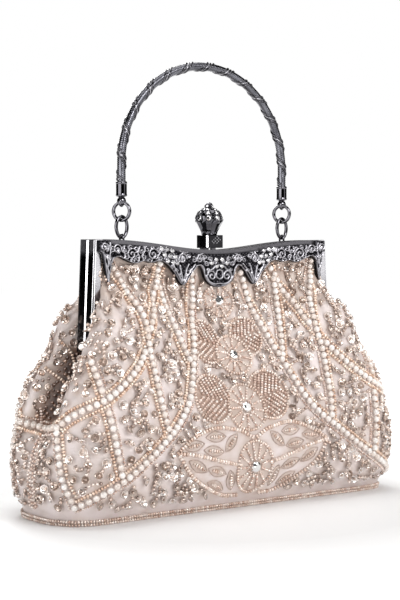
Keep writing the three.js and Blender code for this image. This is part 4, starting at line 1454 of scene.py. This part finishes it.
def add_clasp_sleeve(low, high):
    """Polished sleeve that wraps the front of the lever, with a painted highlight in pale metal on its
    bevelled corners.
    """
    half, back, front = SLEEVE_HALF, SLEEVE_BACK, low[1] - SLEEVE_WALL
    across, deep = SLEEVE_BEVEL
    outer = [(-half, back), (-half, front + deep), (-half + across, front)]
    outer += [(half - across, front), (half, front + deep), (half, back)]
    left, right, seat = low[0] + SLEEVE_SEAT, high[0] - SLEEVE_SEAT, low[1] + SLEEVE_SEAT
    plan = np.array(outer + [(right, back), (right, seat), (left, seat), (left, back)])
    count = len(plan)
    points = np.concatenate([np.insert(plan, 2, z, axis=1) for z in (low[2] + 0.05, high[2])])
    groups = [grid_faces(2, count, closed=True), *end_caps(2, count)]
    mesh = make_mesh("clasp_sleeve", points, groups)
    sleeve = add_piece(mesh, JET_METAL, body="clasp", smooth=False)
    mesh.materials.append(EDGE_GLINT_METAL)
    # pale metal on the bevelled corners: painted highlight
    for corner in (1, 3):
        mesh.polygons[corner].material_index = 1
    ease_edges(sleeve, 0.3)


def add_crosshatch(low, high):
    """Cut diamonds on the front of the sleeve: a real pattern, in paler metal and only in a patch a little
    right of and above the middle, which paints a highlight on it.
    """
    width, height = STUD_PITCH
    middle = (low[2] + high[2]) / 2
    studs = [
        (i * width / 2, low[1] - SLEEVE_WALL, middle + j * height / 2)
        for i in range(-3, 5)
        for j in range(-3, 4)
        if (i + j) % 2 == 0 and abs(i - 0.8) / 3.4 + abs(j - 0.4) / 3 < 1
    ]
    corners = np.array([(-1, 0, 0), (0, -1, 0), (1, 0, 0), (0, 1, 0), (0, 0, 1.0), (0, 0, -0.4)])
    upper = [(0, 1, 4), (1, 2, 4), (2, 3, 4), (3, 0, 4)]
    lower = [(1, 0, 5), (2, 1, 5), (3, 2, 5), (0, 3, 5)]
    size = (STUD_SHARE * width, STUD_SHARE * height, STUD_HEIGHT)
    shape = front_facing((corners, [np.array(upper + lower)]), np.array(studs), size)
    add_shape("clasp_crosshatch", shape, GLINT_METAL, body="clasp", smooth=False)


def knob_sepal(centre, angle):
    """Ridged leaf that opens from the knob's foot."""
    out = flat_direction(angle)
    side = np.array([-out[1], out[0], 0])
    points = []
    for radius, height, half in SEPAL_STATIONS:
        mid = centre + radius * out + height * UP
        edge = mid - 0.6 * out
        points += [edge - half * side, mid + 0.35 * out, edge + half * side, mid - 0.9 * out]
    count = len(SEPAL_STATIONS)
    return np.array(points), [grid_faces(count, 4, closed=True), *end_caps(count, 4)]


def add_knob(centre):
    """Bud with sepals, rings of stones in cups, and a ball on top."""
    sepals = [knob_sepal(centre, 2 * math.pi * k / SEPALS + SEPAL_START) for k in range(SEPALS)]
    bud = merge([lathe(KNOB_PROFILE, 16, centre), *sepals])
    add_shape("bud_knob", bud, POLISHED, body="clasp", replaced=("clasp_knob",), smooth=False)
    places, outs, sizes = [], [], []
    for count, radius, height, rise, size, start in KNOB_RINGS:
        for k in range(count):
            flat = flat_direction(2 * math.pi * k / count + start)
            outs.append(flat * math.cos(rise) + math.sin(rise) * UP)
            places.append(centre + radius * flat + height * UP)
            sizes.append((size, size, size))
    outs, sizes = np.array(outs), np.array(sizes)
    east = unit(np.cross(np.tile(UP, (len(outs), 1)), outs))
    axes = (east, np.cross(outs, east), outs)
    add_shape("knob_cups", instances(lathe(CUP_PROFILE, 12), places, axes, sizes), BLACK_METAL, body="clasp")
    shape = instances(brilliant(8), places, axes, STONE_SHARE * sizes)
    add_shape("knob_stones", shape, CRYSTAL, "crystal", body="clasp", smooth=False)


# Handle

HANDLE_X, HANDLE_Y, ARCH_CENTRE = 59.0, 4.0, 196.5
ROPE_FOOT = 186.4
ROPE_LEG = ARCH_CENTRE - ROPE_FOOT
ROPE_BOW = math.pi * HANDLE_X
ROPE_LENGTH = 2 * ROPE_LEG + ROPE_BOW
ROPE_STATIONS, ROPE_SIDES = 600, 30
ROPE_RADIUS, KNIT_DEPTH, KNIT_PITCH, KNIT_COLUMNS = 2.2, 0.26, 1.1, 5
WINDING_PITCH, WINDING_REACH = 15.0, 2.45
WINDINGS = (
    # name, material, radius of the wire, where along the rope each wire starts
    # the strand is a pale wire between the windings: a painted highlight
    ("rope_winding", BLACK_METAL, 0.58, (0.0, 4.2)), ("rope_glint_strand", GLINT_METAL, 0.4, (2.1,)),
)
DEPTHWAYS = np.array([0, 1.0, 0])
WIRE_SIDES = 14
# radius, wire, upward stretch and turn in degrees of the two links, and of the eye under the sleeve
RING_SIZES, OVAL_SIZES, EYE_SIZES = (5.07, 1.02, 1.0, -60), (3.92, 1.02, 1.51, 5), (2.0, 0.85, 1.0, 30)
EYE_HEIGHT = 2.8
KNUCKLE_SIZE, KNUCKLE_HEIGHT = (2.6, 2.6, 2.9), 175.4
SLEEVE_PROFILE = (
    # radius, height: neck, lower collar, barrel, upper collar
    (1.2, 177.2), (1.9, 177.4), (2.1, 178), (2.9, 178.05), (3.2, 178.5), (3.2, 179.2), (3.05, 179.4),
    (3.05, 179.7), (3.05, 185.0), (3.05, 185.2), (3.2, 185.4), (3.2, 186.2), (2.9, 186.6), (0.6, 186.6),
)
STAPLE_HALF, STAPLE_WIRE = 1.9, 0.6


def arch(distance):
    """Place and outward direction along the rope."""
    angle = np.pi * (1 - np.clip((distance - ROPE_LEG) / ROPE_BOW, 0, 1))
    out = np.stack([np.cos(angle), np.zeros_like(angle), np.sin(angle)], -1)
    place = HANDLE_X * out + np.array([0, HANDLE_Y, ARCH_CENTRE])
    place[:, 2] += np.minimum(distance - ROPE_LEG, 0) + np.minimum(ROPE_LEG + ROPE_BOW - distance, 0)
    return place, out


def rope_shape():
    """Knitted tube: columns of stitches that shift by half a stitch from course to course."""
    distance = np.linspace(0, ROPE_LENGTH, ROPE_STATIONS)
    place, out = arch(distance)
    angle = angles(ROPE_SIDES)[None]
    course = distance[:, None] / KNIT_PITCH
    knit = np.cos(KNIT_COLUMNS * angle + np.pi * np.floor(course)) * np.sin(np.pi * course)
    radius = ROPE_RADIUS + KNIT_DEPTH * np.abs(knit)
    around = np.cos(angle)[..., None] * out[:, None] + np.sin(angle)[..., None] * DEPTHWAYS
    points = place[:, None] + radius[..., None] * around
    groups = [grid_faces(ROPE_STATIONS, ROPE_SIDES, closed=True), *end_caps(ROPE_STATIONS, ROPE_SIDES)]
    return points.reshape(-1, 3), [group[:, ::-1] for group in groups]


def add_rope():
    add_shape("mesh_rope", rope_shape(), ROPE_METAL, replaced=("handle_rope",))
    distance = np.linspace(1.0, ROPE_LENGTH - 1.0, 560)
    place, out = arch(distance)
    for name, look, radius, shifts in WINDINGS:
        wires = []
        for shift in shifts:
            phase = 2 * np.pi * (distance - shift)[:, None] / WINDING_PITCH
            around = np.cos(phase) * out + np.sin(phase) * DEPTHWAYS
            wires.append(sweep(place + WINDING_REACH * around, circle(radius, 7), around))
        add_shape(name, merge(wires), look)


def wire_ring(centre, stations, radius, wire, stretch, turn):
    """Upright ring of wire, drawn out upwards and turned about the vertical."""
    angle = angles(stations)[:, None]
    level, upright = np.cos(angle) * flat_direction(math.radians(turn)), np.sin(angle) * UP
    path = centre + radius * (level + stretch * upright)
    along = unit(np.roll(path, -1, 0) - np.roll(path, 1, 0))
    out = level + upright
    out = unit(out - along * np.sum(out * along, axis=1, keepdims=True))
    return sweep(path, circle(wire, WIRE_SIDES), out, loop=True)


def add_chain(side_name):
    for kind, name, sizes in (("upper", "chain_ring", RING_SIZES), ("lower", "chain_oval", OVAL_SIZES)):
        node = f"link_{kind}_{side_name}"
        low, high = box_mm(node)
        shape = wire_ring((low + high) / 2, 56, *sizes)
        add_shape(f"{name}_{side_name}", shape, POLISHED, replaced=(node,))


def add_sleeve(side_name, axis):
    """Collared sleeve on the rope's end, with a knuckle and an eye below it."""
    node = f"ferrule_{side_name}"
    eye = box_mm(node)[0][2] + EYE_HEIGHT
    sleeve = lathe([(0.6, eye + 1.6), (1.3, eye + 1.9), *SLEEVE_PROFILE], 32, axis)
    knuckle, faces = ball(20, 12)
    knuckle = KNUCKLE_SIZE * knuckle + axis + KNUCKLE_HEIGHT * UP
    parts = [sleeve, wire_ring(axis + eye * UP, 40, *EYE_SIZES), (knuckle, faces)]
    add_shape(f"sleeve_{side_name}", merge(parts), POLISHED, replaced=(node,))


def add_staple(side_name, axis):
    """Bow of wire that stands on the frame and holds the lower link."""
    node = f"handle_loop_{side_name}"
    centre = box_mm(node)[1][2] - STAPLE_WIRE - STAPLE_HALF
    angle = np.linspace(np.pi, 0, 15)[:, None]
    bow = axis + centre * UP + STAPLE_HALF * (np.cos(angle) * DEPTHWAYS + np.sin(angle) * UP)
    foot = axis + (frame_top(HANDLE_X) + 0.1) * UP
    path = np.concatenate([[foot - STAPLE_HALF * DEPTHWAYS], bow, [foot + STAPLE_HALF * DEPTHWAYS]])
    shape = sweep(path, circle(STAPLE_WIRE, 12), np.tile((1.0, 0, 0), (len(path), 1)))
    add_shape(f"staple_{side_name}", shape, POLISHED, replaced=(node,))


add_frames()
add_ornaments()
add_clasp()
add_rope()
for side_name, side in SIDES:
    axis = np.array([side * HANDLE_X, HANDLE_Y, 0])
    add_chain(side_name)
    add_sleeve(side_name, axis)
    add_staple(side_name, axis)


# Beadwork of each panel, as lists

for panel, face in zip(panels, ("front", "back")):
    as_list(beadwork[face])


# Floor and light, in metres

FLOOR_HALF = 4.0
MIDDLE_OF_BAG = (0, 0, 0.1)


def add_stage():
    corners = [(x * FLOOR_HALF, y * FLOOR_HALF, 0) for x, y in ((-1, -1), (1, -1), (1, 1), (-1, 1))]
    mesh = bpy.data.meshes.new("floor")
    mesh.from_pydata(corners, [], [(0, 1, 2, 3)])
    mesh.materials.append(floor_look())
    floor = bpy.data.objects.new("floor", mesh)
    bpy.context.collection.objects.link(floor)


def add_light(name, place, target, width, height, radiance, lights_cloth=True, mirrored=True):
    """Soft box, given by how bright it looks. A card is seen in reflections only, a bounce never."""
    data = bpy.data.lights.new(name, "AREA")
    data.shape = "RECTANGLE"
    data.size, data.size_y = width, height
    data.energy = radiance * math.pi * width * height
    light = bpy.data.objects.new(name, data)
    light.location = place
    light.rotation_euler = (Vector(target) - Vector(place)).to_track_quat("-Z", "Y").to_euler()
    light.visible_camera = False
    light.visible_diffuse = lights_cloth
    light.visible_glossy = mirrored
    bpy.context.collection.objects.link(light)


def add_world():
    """White backdrop that the metal doesn't mirror."""
    world = bpy.data.worlds.new("studio")
    world.use_nodes = True
    background = world.node_tree.nodes["Background"]
    background.inputs["Color"].default_value = (1, 1, 1, 1)
    background.inputs["Strength"].default_value = 1.0
    world.cycles_visibility.glossy = False
    world.cycles_visibility.diffuse = False
    bpy.context.scene.world = world
    bpy.context.scene.view_settings.view_transform = "Standard"


add_stage()
add_world()
add_light("top", (0, 0, 1.5), MIDDLE_OF_BAG, 1.4, 1.2, 3.2)
add_light("key", (0.4, -1.3, 0.9), MIDDLE_OF_BAG, 0.7, 0.7, 6.2)
add_light("fill", (0.8, -1.05, 0.4), MIDDLE_OF_BAG, 0.6, 0.9, 1.2)
add_light("back", (0.4, 1.3, 0.9), MIDDLE_OF_BAG, 0.7, 0.7, 7.0)
add_light("bounce", (-0.35, -1.0, 0.16), (0, 0, 0.03), 1.2, 0.3, 1.1, mirrored=False)
add_light("side_bounce", (-1.0, 0.12, 0.2), (-0.1, 0, 0.05), 0.8, 0.5, 1.4, mirrored=False)
add_light("left card", (-1.06, -0.28, 0.25), MIDDLE_OF_BAG, 1.2, 0.9, 5.0, lights_cloth=False)
add_light("glint card", (-0.2, -1.2, 0.9), MIDDLE_OF_BAG, 0.5, 0.5, 20.0, lights_cloth=False)
